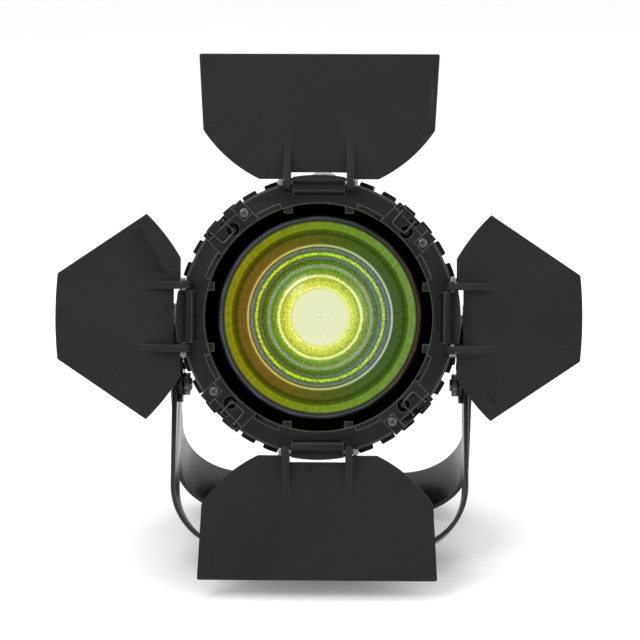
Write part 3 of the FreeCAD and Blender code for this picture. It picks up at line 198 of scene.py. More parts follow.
def lens_material():
    """Pressed glass lit from behind: coloured rings, with sparkle where the steps break the light."""
    made, tree, shader = new_material("lens_glass", specular=0.5, coat=0.35, coat_rough=0.05)
    place = head_place(tree)
    split = add_node(tree, "ShaderNodeSeparateXYZ")
    link(tree, place, split.inputs["Vector"])
    across, up = split.outputs["X"], split.outputs["Z"]
    radius = maths(tree, "SQRT", maths(tree, "ADD", maths(tree, "MULTIPLY", across, across),
                                       maths(tree, "MULTIPLY", up, up)))
    fine = add_node(tree, "ShaderNodeTexNoise", in_Scale=1150.0, in_Detail=2.0, in_Roughness=0.75)
    coarse = add_node(tree, "ShaderNodeTexNoise", in_Scale=420.0, in_Detail=3.0, in_Roughness=0.7)
    for texture in (fine, coarse):
        link(tree, place, texture.inputs["Vector"])
    jag = maths(tree, "MULTIPLY", maths(tree, "SUBTRACT", coarse.outputs["Fac"], 0.5), 0.0021)
    steps = add_node(tree, "ShaderNodeValToRGB")
    bands = [(0.0, 0.05), (17.5, 0.05), (19.8, 0.65), (25.0, 0.8), (26.2, 0.1), (27.4, 0.75),
             (31.8, 0.8), (32.6, 0.45), (34.4, 0.85), (36.6, 0.8), (39.4, 0.5), (40.0, 1.0), (41.6, 1.0),
             (42.6, 0.7), (44.8, 0.5), (46.0, 0.08), (61.9, 0.08)]
    fill_ramp(steps.color_ramp, [(at / LENS_EDGE, (much, much, much, 1)) for at, much in bands])
    link(tree, maths(tree, "DIVIDE", radius, LENS_EDGE * MM), steps.inputs["Fac"])
    busy = steps.outputs["Color"]
    shaken = maths(tree, "DIVIDE", maths(tree, "MULTIPLY_ADD", jag, busy, radius), LENS_EDGE * MM)
    sides = []
    for side in (1, 2):
        ramp = add_node(tree, "ShaderNodeValToRGB")
        fill_ramp(ramp.color_ramp, [(ring[0] / LENS_EDGE, display(*ring[side])) for ring in LENS_RINGS])
        link(tree, shaken, ramp.inputs["Fac"])
        sides.append(ramp.outputs["Color"])
    turn = add_node(tree, "ShaderNodeMapRange", interpolation_type="SMOOTHSTEP", in_From_Min=-0.85,
                    in_From_Max=0.85)
    link(tree, maths(tree, "DIVIDE", across, maths(tree, "ADD", radius, 0.0001)), turn.inputs["Value"])
    blend = add_node(tree, "ShaderNodeMix", data_type="RGBA")
    link(tree, turn.outputs["Result"], blend.inputs["Factor"])
    link(tree, sides[0], blend.inputs[6])
    link(tree, sides[1], blend.inputs[7])
    upright = add_node(tree, "ShaderNodeMapRange", interpolation_type="SMOOTHSTEP", in_From_Min=0.95,
                       in_From_Max=0.25)
    sideways = maths(tree, "ABSOLUTE", maths(tree, "DIVIDE", across, maths(tree, "ADD", radius, 0.0001)))
    link(tree, sideways, upright.inputs["Value"])
    greener = add_node(tree, "ShaderNodeMix", data_type="RGBA", blend_type="MULTIPLY")
    past_core = add_node(tree, "ShaderNodeMapRange", in_From_Min=0.026, in_From_Max=0.034)
    link(tree, radius, past_core.inputs["Value"])
    link(tree, maths(tree, "MULTIPLY", upright.outputs["Result"], past_core.outputs["Result"]),
         greener.inputs["Factor"])
    link(tree, blend.outputs[2], greener.inputs[6])
    greener.inputs[7].default_value = (0.92, 1.05, 0.66, 1)
    around_axis = maths(tree, "MULTIPLY", maths(tree, "ARCTAN2", up, across), 9.0)
    polar = add_node(tree, "ShaderNodeCombineXYZ")
    link(tree, around_axis, polar.inputs["X"])
    link(tree, maths(tree, "MULTIPLY", radius, 60.0), polar.inputs["Y"])
    streaks = add_node(tree, "ShaderNodeTexNoise", in_Scale=2.6, in_Detail=3.0, in_Roughness=0.6)
    link(tree, polar.outputs["Vector"], streaks.inputs["Vector"])
    outer = add_node(tree, "ShaderNodeMapRange", in_From_Min=0.0455, in_From_Max=0.049, in_To_Min=0.0,
                     in_To_Max=1.1)
    link(tree, radius, outer.inputs["Value"])
    streaky = maths(tree, "MULTIPLY_ADD", maths(tree, "SUBTRACT", streaks.outputs["Fac"], 0.5),
                    outer.outputs["Result"], 1.0)
    glint = add_node(tree, "ShaderNodeMapRange", in_From_Min=0.34, in_From_Max=0.72, in_To_Min=0.25,
                     in_To_Max=2.1)
    link(tree, fine.outputs["Fac"], glint.inputs["Value"])
    swing = maths(tree, "MULTIPLY_ADD", maths(tree, "SUBTRACT", glint.outputs["Result"], 1.0), busy, 1.0)
    lit = add_node(tree, "ShaderNodeVectorMath", operation="SCALE")
    link(tree, greener.outputs[2], lit.inputs[0])
    link(tree, maths(tree, "MULTIPLY", swing, streaky), lit.inputs["Scale"])
    link(tree, lit.outputs["Vector"], shader.inputs["Emission Color"])
    shader.inputs["Emission Strength"].default_value = 0.92
    shader.inputs["Base Color"].default_value = (0.006, 0.008, 0.001, 1)
    rough = add_node(tree, "ShaderNodeMapRange", in_To_Min=0.06, in_To_Max=0.3)
    link(tree, busy, rough.inputs["Value"])
    link(tree, rough.outputs["Result"], shader.inputs["Roughness"])
    bump = add_node(tree, "ShaderNodeBump", in_Strength=0.6, in_Distance=0.08 * MM)
    link(tree, coarse.outputs["Fac"], bump.inputs["Height"])
    link(tree, bump.outputs["Normal"], shader.inputs["Normal"])
    return made


def fill_ramp(ramp, stops):
    """Put these (position, colour) stops on a colour ramp."""
    first, last = ramp.elements
    first.position, first.color = stops[0]
    last.position, last.color = stops[-1]
    for position, colour in stops[1:-1]:
        ramp.elements.new(position).color = colour


def rim_material():
    """Satin anodised ring with a painted reflection: its colour is painted cool towards -X and warm towards
    +X.
    """
    made, tree, shader = new_material("rim_metal", metal=0.85, specular=0.5)
    place = head_place(tree)
    split = add_node(tree, "ShaderNodeSeparateXYZ")
    link(tree, place, split.inputs["Vector"])
    # Painted reflection: the base colour runs from cool at -X to warm at +X.
    side = add_node(tree, "ShaderNodeMapRange", in_From_Min=-0.06, in_From_Max=0.06)
    link(tree, split.outputs["X"], side.inputs["Value"])
    reflection_tint = add_node(tree, "ShaderNodeValToRGB")
    fill_ramp(reflection_tint.color_ramp, [(0.0, display(100, 108, 124)), (0.4, display(96, 102, 104)),
                                (0.75, display(88, 92, 88)), (1.0, display(98, 78, 62))])
    link(tree, side.outputs["Result"], reflection_tint.inputs["Fac"])
    speck = add_node(tree, "ShaderNodeTexNoise", in_Scale=1300.0, in_Detail=3.0)
    link(tree, place, speck.inputs["Vector"])
    shade = add_node(tree, "ShaderNodeMapRange", in_To_Min=0.65, in_To_Max=1.3)
    link(tree, speck.outputs["Fac"], shade.inputs["Value"])
    colour = add_node(tree, "ShaderNodeVectorMath", operation="SCALE")
    link(tree, reflection_tint.outputs["Color"], colour.inputs[0])
    radius = maths(tree, "SQRT", maths(tree, "ADD", maths(tree, "POWER", split.outputs["X"], 2.0),
                                       maths(tree, "POWER", split.outputs["Z"], 2.0)))
    lip = add_node(tree, "ShaderNodeMapRange", in_From_Min=0.0646, in_From_Max=0.0650, in_To_Min=0.62,
                   in_To_Max=0.01)
    link(tree, radius, lip.inputs["Value"])
    level = maths(tree, "MULTIPLY", shade.outputs["Result"], lip.outputs["Result"])
    link(tree, level, colour.inputs["Scale"])
    link(tree, colour.outputs["Vector"], shader.inputs["Base Color"])
    rough = add_node(tree, "ShaderNodeMapRange", in_To_Min=0.32, in_To_Max=0.5)
    link(tree, speck.outputs["Fac"], rough.inputs["Value"])
    link(tree, rough.outputs["Result"], shader.inputs["Roughness"])
    return made


def glow_material(name, colour, strength):
    """A lit display segment, a little uneven along its length."""
    made, tree, shader = new_material(name, specular=0.3)
    place = add_node(tree, "ShaderNodeTexCoord").outputs["Object"]
    cloud = add_node(tree, "ShaderNodeTexNoise", in_Scale=300.0)
    link(tree, place, cloud.inputs["Vector"])
    ramp = add_node(tree, "ShaderNodeValToRGB")
    fill_ramp(ramp.color_ramp, [(0.3, tuple(c * 0.8 for c in colour) + (1,)), (0.7, colour + (1,))])
    link(tree, cloud.outputs["Fac"], ramp.inputs["Fac"])
    link(tree, ramp.outputs["Color"], shader.inputs["Emission Color"])
    link(tree, ramp.outputs["Color"], shader.inputs["Base Color"])
    shader.inputs["Emission Strength"].default_value = strength
    return made


MATERIALS = {
    "strap_black": surface("strap_black", grey(0.006), grey(0.012), (0.24, 0.36), 1.3, 0.02, scratches=0.08,
                           coat=0.1, specular=0.3),
    "bolt_steel": surface("bolt_steel", grey(0.16), grey(0.34), (0.25, 0.42), 0.5, 0.02, metal=1.0),
    "dark_fastener": surface("dark_fastener", grey(0.012), grey(0.04), (0.26, 0.42), 0.5, 0.02, metal=0.6),
    "bright_screw": surface("bright_screw", grey(0.05), grey(0.13), (0.25, 0.42), 0.4, 0.03, metal=1.0),
    "spring_wire": surface("spring_wire", grey(0.03), grey(0.10), (0.25, 0.4), 0.3, 0.01, metal=1.0),
    "frame_black": surface("frame_black", grey(0.004, 0.03), grey(0.010, 0.03), (0.34, 0.48), 0.5, 0.06,
                           specular=0.14),
    "leaf_black": surface("leaf_black", grey(0.005, 0.05), grey(0.014, 0.05), (0.42, 0.56), 0.42, 0.07,
                          mottle=70, specular=0.17),
    "grip_rubber": surface("grip_rubber", grey(0.003), grey(0.008), (0.5, 0.66), 0.5, 0.04, specular=0.12),
    "knob_plastic": surface("knob_plastic", grey(0.005), grey(0.012), (0.36, 0.5), 0.6, 0.04, specular=0.2),
    "tunnel_black": surface("tunnel_black", grey(0.0002), grey(0.0006), (0.85, 0.95), 0.6, 0.03,
                            specular=0.0),
    "housing_black": surface("housing_black", grey(0.005), grey(0.013), (0.38, 0.54), 0.7, 0.06,
                             specular=0.2),
    "rim_metal": rim_material(),
    "sink_aluminium": surface("sink_aluminium", grey(0.42), grey(0.62), (0.3, 0.45), 0.5, 0.02, metal=1.0,
                              stretch=(1, 8, 1)),
    "circuit_board": surface("circuit_board", (0.008, 0.05, 0.02, 1), (0.02, 0.10, 0.045, 1), (0.3, 0.5),
                             0.6, 0.02),
    "window_plastic": surface("window_plastic", grey(0.004), grey(0.007), (0.06, 0.12), 2.0, 0.002),
    "button_plastic": surface("button_plastic", grey(0.03), grey(0.05), (0.45, 0.6), 0.5, 0.03),
    "socket_plastic": surface("socket_plastic", grey(0.012), grey(0.026), (0.3, 0.45), 0.6, 0.03),
    "emitter": surface("emitter", (0.75, 0.62, 0.06, 1), (0.95, 0.85, 0.2, 1), (0.3, 0.5), 0.5, 0.05),
    "lens_glass": lens_material(),
    "print_white": surface("print_white", grey(0.55), grey(0.68), (0.5, 0.6), 0.5, 0.01),
    "digit_glow": glow_material("digit_glow", (1.0, 0.08, 0.03), 2.2),
    "hinge_steel": surface("hinge_steel", grey(0.10), grey(0.26), (0.22, 0.38), 0.5, 0.02, metal=1.0),
}
SPECIAL = {"hinge_bolts": "hinge_steel", "hinge_nuts": "hinge_steel"}
# Painted highlight: lighter, shinier copies of the finishes for the narrow faces that round off each sharp
# edge, standing in for the light those rounded edges catch.
PAINTED_EDGE_HIGHLIGHTS = {
    "frame_black": surface("frame_edge", grey(0.03), grey(0.075), (0.3, 0.42), 0.6, 0.02, specular=0.4),
    "leaf_black": surface("leaf_edge", grey(0.014), grey(0.034), (0.34, 0.46), 0.6, 0.02, specular=0.3),
    "strap_black": surface("strap_edge", grey(0.02), grey(0.06), (0.22, 0.34), 0.9, 0.02, specular=0.5),
    "knob_plastic": surface("knob_edge", grey(0.014), grey(0.034), (0.3, 0.42), 0.6, 0.02, specular=0.35),
    "grip_rubber": surface("grip_edge", grey(0.012), grey(0.03), (0.4, 0.5), 0.6, 0.02, specular=0.3),
    "housing_black": surface("housing_edge", grey(0.018), grey(0.04), (0.32, 0.44), 0.6, 0.02,
                             specular=0.35),
}


# ---------------------------------------------------------------- pieces

def new_object(name, mesh):
    made = bpy.data.objects.new(name, mesh)
    bpy.context.scene.collection.objects.link(made)
    return made


def smooth(mesh, angle=32):
    """Smooth shading, with hard edges where the surface turns by more than the angle."""
    mesh.polygons.foreach_set("use_smooth", [True] * len(mesh.polygons))
    mesh.set_sharp_from_angle(angle=math.radians(angle))


def piece(name, shape, body, slot, place=TO_ROW, replaces=(), material=None, angle=32):
    """Turn a finished bmesh into a named piece that rides on a body."""
    shape.transform(place)
    bmesh.ops.recalc_face_normals(shape, faces=shape.faces)
    mesh = bpy.data.meshes.new(name)
    shape.to_mesh(mesh)
    shape.free()
    smooth(mesh, angle)
    mesh.materials.append(MATERIALS[material or slot])
    made = new_object(name, mesh)
    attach(made, body)
    if replaces:
        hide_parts(*replaces)
    return made


def refined(node, width=0.25, segments=2, angle=38, keep=None):
    """The CAD node's own shape with its sharp edges broken, as casting and moulding leave them."""
    mesh = NODES[node].data.copy()
    shape = bmesh.new()
    shape.from_mesh(mesh)
    bmesh.ops.remove_doubles(shape, verts=shape.verts, dist=1e-6)
    bmesh.ops.dissolve_limit(shape, angle_limit=math.radians(0.3), verts=shape.verts, edges=shape.edges)
    sharp = [edge for edge in shape.edges
             if len(edge.link_faces) == 2 and edge.calc_face_angle(0) > math.radians(angle)
             and (keep is None or keep(edge))]
    slot = SLOT_OF[node]
    if sharp:
        # Where the finish has a lighter edge copy, the bevel faces take it as material 1: a painted
        # highlight along each broken edge.
        bmesh.ops.bevel(shape, geom=sharp, offset=width * MM, segments=segments, profile=0.5,
                        affect="EDGES", clamp_overlap=False, miter_outer="ARC",
                        material=1 if slot in PAINTED_EDGE_HIGHLIGHTS else -1)
    made = piece(f"{node}_finished", shape, BODY_OF[node], slot, Matrix.Identity(4), (node,),
                 material=SPECIAL.get(node))
    if slot in PAINTED_EDGE_HIGHLIGHTS:
        made.data.materials.append(PAINTED_EDGE_HIGHLIGHTS[slot])
    return made


def islands(node):
    """For each separate solid of a CAD node, its lowest and highest corner in the head's frame."""
    shape = bmesh.new()
    shape.from_mesh(NODES[node].data)
    bmesh.ops.remove_doubles(shape, verts=shape.verts, dist=1e-6)
    to_head = TO_ROW.inverted()
    seen, found = set(), []
    for start in shape.verts:
        if start in seen:
            continue
        seen.add(start)
        waiting, points = [start], []
        while waiting:
            vert = waiting.pop()
            points.append(to_head @ vert.co)
            for edge in vert.link_edges:
                other = edge.other_vert(vert)
                if other not in seen:
                    seen.add(other)
                    waiting.append(other)
        found.append([Vector([pick(point[axis] for point in points) for axis in range(3)])
                      for pick in (min, max)])
    shape.free()
    return found


def revolved(profile, steps=192, closed=True):
    """A solid of revolution about the head's Y axis; the profile is a list of (y, radius)."""
    shape = bmesh.new()
    rings = []
    for step in range(steps):
        angle = 2 * math.pi * step / steps
        rings.append([shape.verts.new((radius * math.sin(angle), y, radius * math.cos(angle)))
                      for y, radius in profile])
    count = len(profile) if closed else len(profile) - 1
    for step in range(steps):
        here, there = rings[step], rings[(step + 1) % steps]
        for number in range(count):
            following = (number + 1) % len(profile)
            shape.faces.new((here[number], here[following], there[following], there[number]))
    bmesh.ops.remove_doubles(shape, verts=shape.verts, dist=1e-4)
    bmesh.ops.dissolve_degenerate(shape, edges=shape.edges, dist=1e-5)
    return shape


def prism(shape, outline, low, high, place=Matrix.Identity(4)):
    """Add a plate: an outline of (x, z) points between two levels of y."""
    near = [shape.verts.new(place @ Vector((x, low, z))) for x, z in outline]
    far = [shape.verts.new(place @ Vector((x, high, z))) for x, z in outline]
    shape.faces.new(near)
    shape.faces.new(far[::-1])
    for number in range(len(outline)):
        following = (number + 1) % len(outline)
        shape.faces.new((near[number], far[number], far[following], near[following]))


def disc_outline(x, z, radius, steps=24):
    """The (x, z) points of a circle, from its top round towards +X."""
    return [(x + radius * math.sin(2 * math.pi * step / steps),
             z + radius * math.cos(2 * math.pi * step / steps)) for step in range(steps)]


def box_outline(x, z, half_wide, half_tall):
    """The (x, z) corners of a rectangle round a centre."""
    return [(x - half_wide, z - half_tall), (x + half_wide, z - half_tall),
            (x + half_wide, z + half_tall), (x - half_wide, z + half_tall)]


def break_edges(shape, width, segments=2, angle=38):
    """Bevel every edge that turns by more than the angle."""
    sharp = [edge for edge in shape.edges
             if len(edge.link_faces) == 2 and edge.calc_face_angle(0) > math.radians(angle)]
    bmesh.ops.bevel(shape, geom=sharp, offset=width, segments=segments, profile=0.5, affect="EDGES",
                    clamp_overlap=True)
    return shape


def around(angle):
    """Turn about the optical axis, from straight up towards +X."""
    return Matrix.Rotation(math.radians(angle), 4, "Y")


LEAVES = ("top", "right", "bottom", "left")
SIDES = {"right": 1, "left": -1}


def lens_piece():
    """The stepped lens: every zone keeps the curve of one thick lens, then steps back."""
    back, face, curve, flange, clear, flat = -33.0, -38.0, 90.0, 66.8, 61.9, 0.4
    first_zone, zone_width = 19.7, 6.33

    def sag(radius):
        return curve - math.sqrt(curve * curve - radius * radius)

    zones = [flat, first_zone]
    while zones[-1] + zone_width * 1.2 < clear:
        zones.append(zones[-1] + zone_width)
    zones.append(clear - 0.4)
    profile = [(back, flat)]
    for inner, outer in zip(zones, zones[1:]):
        parts = 14 if inner < first_zone else 7
        for part in range(parts + 1):
            radius = inner + (outer - inner) * part / parts
            profile.append((face - (sag(outer) - sag(radius)), radius))
    profile += [(face, flange), (back, flange)]
    shape = revolved(profile, steps=224)
    rims = [edge for edge in shape.edges if edge.is_boundary]
    bmesh.ops.holes_fill(shape, edges=rims, sides=0)
    piece("fresnel_lens", shape, "lens_carriage", "lens_glass", replaces=("lens",), angle=20)


def roomy(edge):
    """False at the rims of shallow marks, where there is no room for a bevel."""
    return min(side.calc_length() for face in edge.link_faces for side in face.edges) > 0.00022


# CAD nodes whose own shape is right, and the width in millimetres to which their edges are broken.
REFINED = {
    "front_frame": 0.26, "hinge_blocks": 0.3, "zoom_ring": 0.4, "front_bracket": 0.5, "rear_bracket": 0.5,
    "bracket_plates": 0.4, "plate_bolts": 0.25, "plate_nuts": 0.4, "plate_rivets": 0.3,
    "strap_washers": 0.12, "knob_washers": 0.3, "pivot_washers": 0.3, "pivot_blocks": 0.8,
    "hinge_bolts": 0.45, "hinge_nuts": 0.3, "boss_screws": 0.12,
    "panel_screws": 0.12, "front_housing": 0.3, "rear_housing": 0.4, "rear_panel": 0.35,
    "tilt_knob_right": 0.5, "tilt_knob_left": 0.5, "lens_rim": 0.25, "lens_carriage": 0.3,
    "front_barrel": 0.3, "fuse_holder": 0.3, "dmx_in": 0.25, "dmx_out": 0.25, "power_in": 0.3,
    "power_out": 0.3, "button_mode": 0.2, "button_up": 0.2, "button_down": 0.2, "button_enter": 0.2,
    "display_window": 0.2, "fan_frame": 0.4, "light_baffle": 0.2, "led_board": 0.15, "driver_board": 0.15,
    "heat_sink": 0.25, "guide_pins": 0.25, "zoom_sleeve": 0.2,
}


def screw(shape, place, radius, height, turned):
    """Add a domed screw head with a cross recess, standing on the place's own Z = 0."""
    steps = 32
    dome = [(radius, 0.0), (radius, height * 0.45), (radius * 0.93, height * 0.7),
            (radius * 0.78, height * 0.88), (radius * 0.55, height * 0.97), (radius * 0.34, height)]
    floor = [(radius * 0.3, height * 0.96), (radius * 0.16, height * 0.45)]
    rings = []
    for level, (reach, high) in enumerate(dome + floor):
        ring = []
        for step in range(steps):
            angle = 2 * math.pi * step / steps
            lobe = 1.0
            if level >= len(dome) - 1:
                lobe = 0.4 + 1.1 * abs(math.cos(2 * angle)) ** 3
            ring.append(shape.verts.new(place @ Vector((
                reach * lobe * math.cos(angle + turned), reach * lobe * math.sin(angle + turned), high))))
        rings.append(ring)
    for low, high in zip(rings, rings[1:]):
        for step in range(steps):
            following = (step + 1) % steps
            shape.faces.new((low[step], low[following], high[following], high[step]))
    shape.faces.new(rings[0][::-1])
    shape.faces.new(rings[-1])


def clip_screws():
    """Cross-headed screws on the pads beside the retaining clips."""
    shape = bmesh.new()
    for number, (low, high) in enumerate(islands("clip_screws")):
        middle = (low + high) / 2
        place = Matrix.Translation((middle.x, high.y, middle.z)) @ Matrix.Rotation(math.pi / 2, 4, "X")
        screw(shape, place, (high.x - low.x) / 2, high.y - low.y, 0.5 + 0.8 * number)
    piece("clip_screw_heads", shape, "head", "bright_screw", replaces=("clip_screws",), angle=50)


def seam_screws():
    """Small screws through the rear shell into the front one, all round the seam."""
    shape = bmesh.new()
    for number in range(8):
        place = around(22.5 + 45 * number) @ Matrix.Translation((0, 34.5, 80.3))
        screw(shape, place, 2.0, 1.2, 0.7 * number)
    piece("seam_screws", shape, "head", "dark_fastener", angle=50)


def socket_screws():
    """Two flange screws on each of the four sockets."""
    shape = bmesh.new()
    for centre_x, centre_z in ((38, 4), (-38, 4), (24, -38), (-24, -38)):
        for side in (-1, 1):
            place = (Matrix.Translation((centre_x + 9.6 * side, PANEL_BACK + 2.0, centre_z + 12.4 * side))
                     @ Matrix.Rotation(-math.pi / 2, 4, "X"))
            screw(shape, place, 1.7, 1.0, 0.9 * side)
    piece("socket_screws", shape, "head", "dark_fastener", angle=50)


def control_pins():
    """The plated contacts that stand in the control input."""
    shape = bmesh.new()
    for pin_x, pin_z in ((0, 4.5), (-4.2, -2.5), (4.2, -2.5)):
        for low, high, radius in ((101.7, 110.2, 1.28), (110.2, 111.2, 0.95)):
            prism(shape, disc_outline(38 + pin_x, 4 + pin_z, radius), low, high)
    piece("control_pins", shape, "head", "bolt_steel")


def knob_inserts():
    """A moulded-in disc and the squared end of the stud in the face of each knob."""
    for name, sign in SIDES.items():
        place = (Matrix.Translation((0, 0, -AXIS_RISE)) @ Matrix.Rotation(-sign * math.pi / 2, 4, "Z"))
        shape = bmesh.new()
        prism(shape, disc_outline(0, 0, 8.5, steps=48), 122.0, 122.7, place)
        prism(shape, disc_outline(0, 0, 4.2, steps=6), 122.6, 123.5, place)
        break_edges(shape, 0.2)
        piece(f"knob_insert_{name}", shape, f"knob_{name}", "dark_fastener")


def eye_collars():
    """Pressed collars where the safety loop enters the shell."""
    shape = bmesh.new()
    for side in (-1, 1):
        turned = Matrix.Translation((11 * side, 58, 79.0)) @ Matrix.Rotation(math.pi / 2, 4, "X")
        prism(shape, disc_outline(0, 0, 4.8, steps=32), -2.0, 0.0, turned)
    break_edges(shape, 0.3)
    piece("eye_collars", shape, "head", "bolt_steel")


def zoom_scale():
    """Raised strokes on the front shell beside the grip ring, longer at every fifth."""
    shape = bmesh.new()
    for number in range(-10, 11):
        length = 5.0 if number % 5 == 0 else 3.0
        place = around(5 * number / 2.0)
        low = Matrix.Translation((0, 0, 80.4))
        prism(shape, box_outline(0, 0.15, 0.28, 0.15), -57.5, -57.5 + length, place @ low)
    break_edges(shape, 0.06, segments=1)
    piece("zoom_scale", shape, "head", "housing_black", material="print_white")


def panel_print():
    """Plain ruled marks round the controls: a frame about the window and a line between the sockets."""
    shape = bmesh.new()
    face = PANEL_BACK + 0.02
    for x, z, wide, tall in ((0, 60.2, 26, 0.25), (0, 39.8, 26, 0.25), (-26, 50, 0.25, 10.2),
                             (26, 50, 0.25, 10.2), (0, -15.5, 30, 0.25)):
        prism(shape, box_outline(x, z, wide, tall), face - 0.05, face + 0.06)
    break_edges(shape, 0.02, segments=1)
    piece("panel_print", shape, "head", "housing_black", material="print_white")


# Each segment of a numeral: where its middle is, and whether it lies level.
SEGMENTS = {"a": (0, 1, 1), "b": (1, 0.5, 0), "c": (1, -0.5, 0), "d": (0, -1, 1), "e": (-1, -0.5, 0),
            "f": (-1, 0.5, 0), "g": (0, 0, 1)}
DIGITS = {"0": "abcdef", "1": "bc", "8": "abcdefg", "5": "afgcd"}


def window_digits():
    """Four seven-segment numerals behind the window."""
    shape = bmesh.new()
    face, half_wide, half_tall, stroke = PANEL_BACK - 0.4, 1.9, 3.6, 0.42
    for place, digit in enumerate("0158"):
        centre = -13.5 + 9 * place
        for letter in DIGITS[digit]:
            across, up, level = SEGMENTS[letter]
            x, z = -(centre + across * half_wide), 50 + up * half_tall
            long_x, long_z = (half_wide - 0.5, stroke) if level else (stroke, half_tall / 2 - 0.5)
            outline = [(x - long_x, z - long_z), (x + long_x, z - long_z), (x + long_x, z + long_z),
                       (x - long_x, z + long_z)]
            prism(shape, outline, face, face + 0.12)
    break_edges(shape, 0.05, segments=1)
    piece("window_digits", shape, "head", "window_plastic", material="digit_glow")


def button_icons():
    """A plain sign on each button: bars, up, down and a ring."""
    face = PANEL_BACK + 2.15
    signs = {
        "mode": [box_outline(30, 30 + step, 1.7, 0.3) for step in (-1.2, 0, 1.2)],
        "up": [[(8.3, 29), (11.7, 29), (10, 31.6)]],
        "down": [[(-11.7, 31), (-8.3, 31), (-10, 28.4)]],
        "enter": [disc_outline(-30, 30, 1.5)]}
    for name, outlines in signs.items():
        shape = bmesh.new()
        for outline in outlines:
            prism(shape, outline, face, face + 0.2)
        break_edges(shape, 0.05, segments=1)
        piece(f"button_sign_{name}", shape, f"button_{name}", "button_plastic", material="print_white")


def fan_blades():
    """The rotor with seven swept, twisted blades in place of flat ones."""
    shape = bmesh.new()
    start, deep, hub, tip = 70.5, 19.0, 17.0, 41.7
    prism(shape, disc_outline(0, 0, hub, steps=64), start, start + deep)
    for number in range(7):
        columns = []
        for part in range(9):
            radius = hub - 0.5 + (tip - hub + 0.5) * part / 8
            sweep = 14 * part / 8
            chord = 25 + 3 * part / 8
            for_angle = 360 / 7 * number + sweep
            pitch = math.radians(48 - 14 * part / 8)
            column = []
            for share, thick in ((-0.5, 0.25), (-0.2, 0.8), (0.2, 0.7), (0.5, 0.2)):
                along = share * min(chord, deep / math.sin(pitch) - 1)
                camber = 1.6 * (1 - (2 * share) ** 2)
                for side in (-0.5, 0.5):
                    across = along * math.cos(pitch) + camber
                    y = start + deep / 2 + along * math.sin(pitch) + side * thick
                    turn = math.radians(for_angle) + across / radius
                    column.append(shape.verts.new((radius * math.sin(turn), y, radius * math.cos(turn))))
            columns.append(column)
        for here, there in zip(columns, columns[1:]):
            loop = (0, 2, 4, 6, 7, 5, 3, 1)
            for first, second in zip(loop, loop[1:] + loop[:1]):
                shape.faces.new((here[first], here[second], there[second], there[first]))
        for column in (columns[0], columns[-1]):
            shape.faces.new([column[number] for number in (0, 2, 4, 6, 7, 5, 3, 1)])
    piece("fan_rotor_blades", shape, "fan_rotor", SLOT_OF["fan_rotor"], replaces=("fan_rotor",))


def board_parts():
    """Driver board components: capacitors, a transformer block, chips and terminal strips."""
    shape = bmesh.new()
    random.seed(4)
    face = 97.0
    for number in range(26):
        x, z = random.uniform(-41, 41), random.uniform(-36, 36)
        wide, tall = random.uniform(0.8, 3.2), random.uniform(0.8, 2.4)
        prism(shape, box_outline(x, z, wide, tall), face - random.uniform(0.8, 2.2), face + 0.1)
    break_edges(shape, 0.1, segments=1)
    piece("board_parts", shape, "head", "socket_plastic")


def cob_emitter():
    """The light source: a white dam round a flat yellow phosphor disc, with a grid of dies below."""
    dam = revolved([(22.8, 11.6), (22.3, 11.9), (22.3, 12.6), (22.8, 13.0), (24.0, 13.0), (24.0, 11.6)],
                   steps=96)
    piece("emitter_dam", dam, "head", "circuit_board", material="print_white")
    shape = bmesh.new()
    prism(shape, disc_outline(0, 0, 11.7, steps=72), 22.9, 23.9)
    for row in range(-5, 6):
        for column in range(-5, 6):
            if math.hypot(row, column) < 5.2:
                prism(shape, box_outline(1.9 * column, 1.9 * row, 0.55, 0.55), 22.75, 22.95)
    break_edges(shape, 0.08, segments=1)
    piece("emitter_phosphor", shape, "head", "emitter", replaces=("led_emitter",))


# ---------------------------------------------------------------- studio

def area_light(name, place, aim, size, power):
    lamp = bpy.data.lights.new(name, "AREA")
    lamp.shape, lamp.size, lamp.energy = "SQUARE", size, power
    made = bpy.data.objects.new(name, lamp)
    bpy.context.scene.collection.objects.link(made)
    made.location = place
    made.rotation_euler = (Vector(aim) - Vector(place)).to_track_quat("-Z", "Y").to_euler()


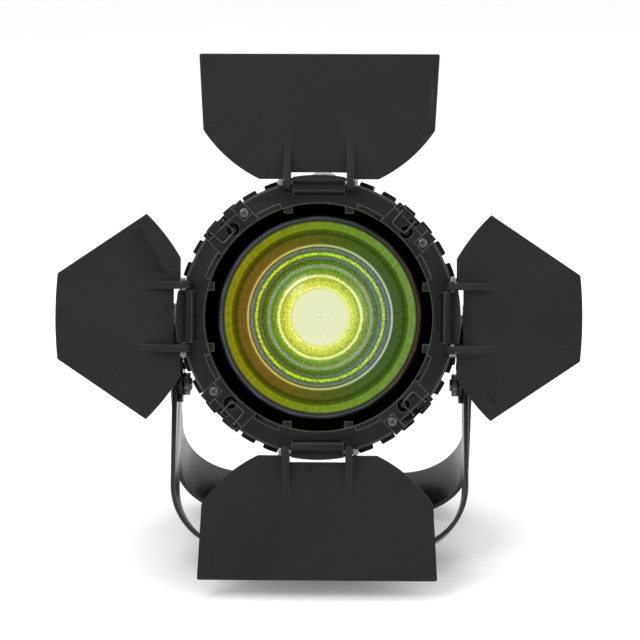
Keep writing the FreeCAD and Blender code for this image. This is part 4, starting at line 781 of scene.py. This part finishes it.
def studio():
    """A flat white floor and white surroundings under soft light from above, left and right."""
    world = bpy.data.worlds.new("studio_world")
    bpy.context.scene.world = world
    world.use_nodes = True
    back = world.node_tree.nodes["Background"]
    back.inputs["Color"].default_value = (1, 1, 1, 1)
    back.inputs["Strength"].default_value = 1.0
    area_light("key", (-0.9, -1.3, 1.6), (0, 0, 0.15), 0.9, 14)
    area_light("fill", (1.2, -1.1, 0.8), (0, 0, 0.15), 0.9, 5)
    area_light("top", (0.0, 0.3, 1.7), (0, 0, 0.15), 1.2, 10)
    shape = bmesh.new()
    bmesh.ops.create_grid(shape, x_segments=8, y_segments=8, size=6.0)
    mesh = bpy.data.meshes.new("floor")
    shape.to_mesh(mesh)
    shape.free()
    floor = new_object("floor", mesh)
    mesh.materials.append(surface("floor_white", grey(0.93), grey(0.97), (0.7, 0.8), 4.0, 0.01, mottle=400,
                                  specular=0.1))
    bpy.context.scene.view_settings.view_transform = "Standard"


def camera():
    """The viewing angle: level with the tilted head, a little to one side of its axis."""
    elevation, azimuth, distance = math.radians(13.5), math.radians(1.3), 1.5
    face = TO_ROW @ Vector((0, -FRAME_FRONT, 0))
    place = face + distance * Vector((math.sin(azimuth) * math.cos(elevation),
                                      -math.cos(azimuth) * math.cos(elevation), math.sin(elevation)))
    aim = face + Vector((0.0011, 0, -0.0017))
    lens = bpy.data.cameras.new("camera")
    lens.lens, lens.sensor_width, lens.clip_end = 136, 36, 50
    made = bpy.data.objects.new("camera", lens)
    bpy.context.scene.collection.objects.link(made)
    made.location = place
    made.rotation_euler = (aim - place).to_track_quat("-Z", "Y").to_euler()
    bpy.context.scene.camera = made


# ---------------------------------------------------------------- the whole lamp

for node, obj in NODES.items():
    obj.data.materials.clear()
    obj.data.materials.append(MATERIALS[SLOT_OF[node]])
    smooth(obj.data)
for node, width in REFINED.items():
    refined(node, width)
for name in LEAVES:
    refined(f"leaf_{name}", 0.25, keep=roomy)
lens_piece()
clip_screws()
seam_screws()
socket_screws()
control_pins()
knob_inserts()
eye_collars()
zoom_scale()
panel_print()
window_digits()
button_icons()
fan_blades()
board_parts()
cob_emitter()
studio()
camera()

bpy.context.view_layer.update()
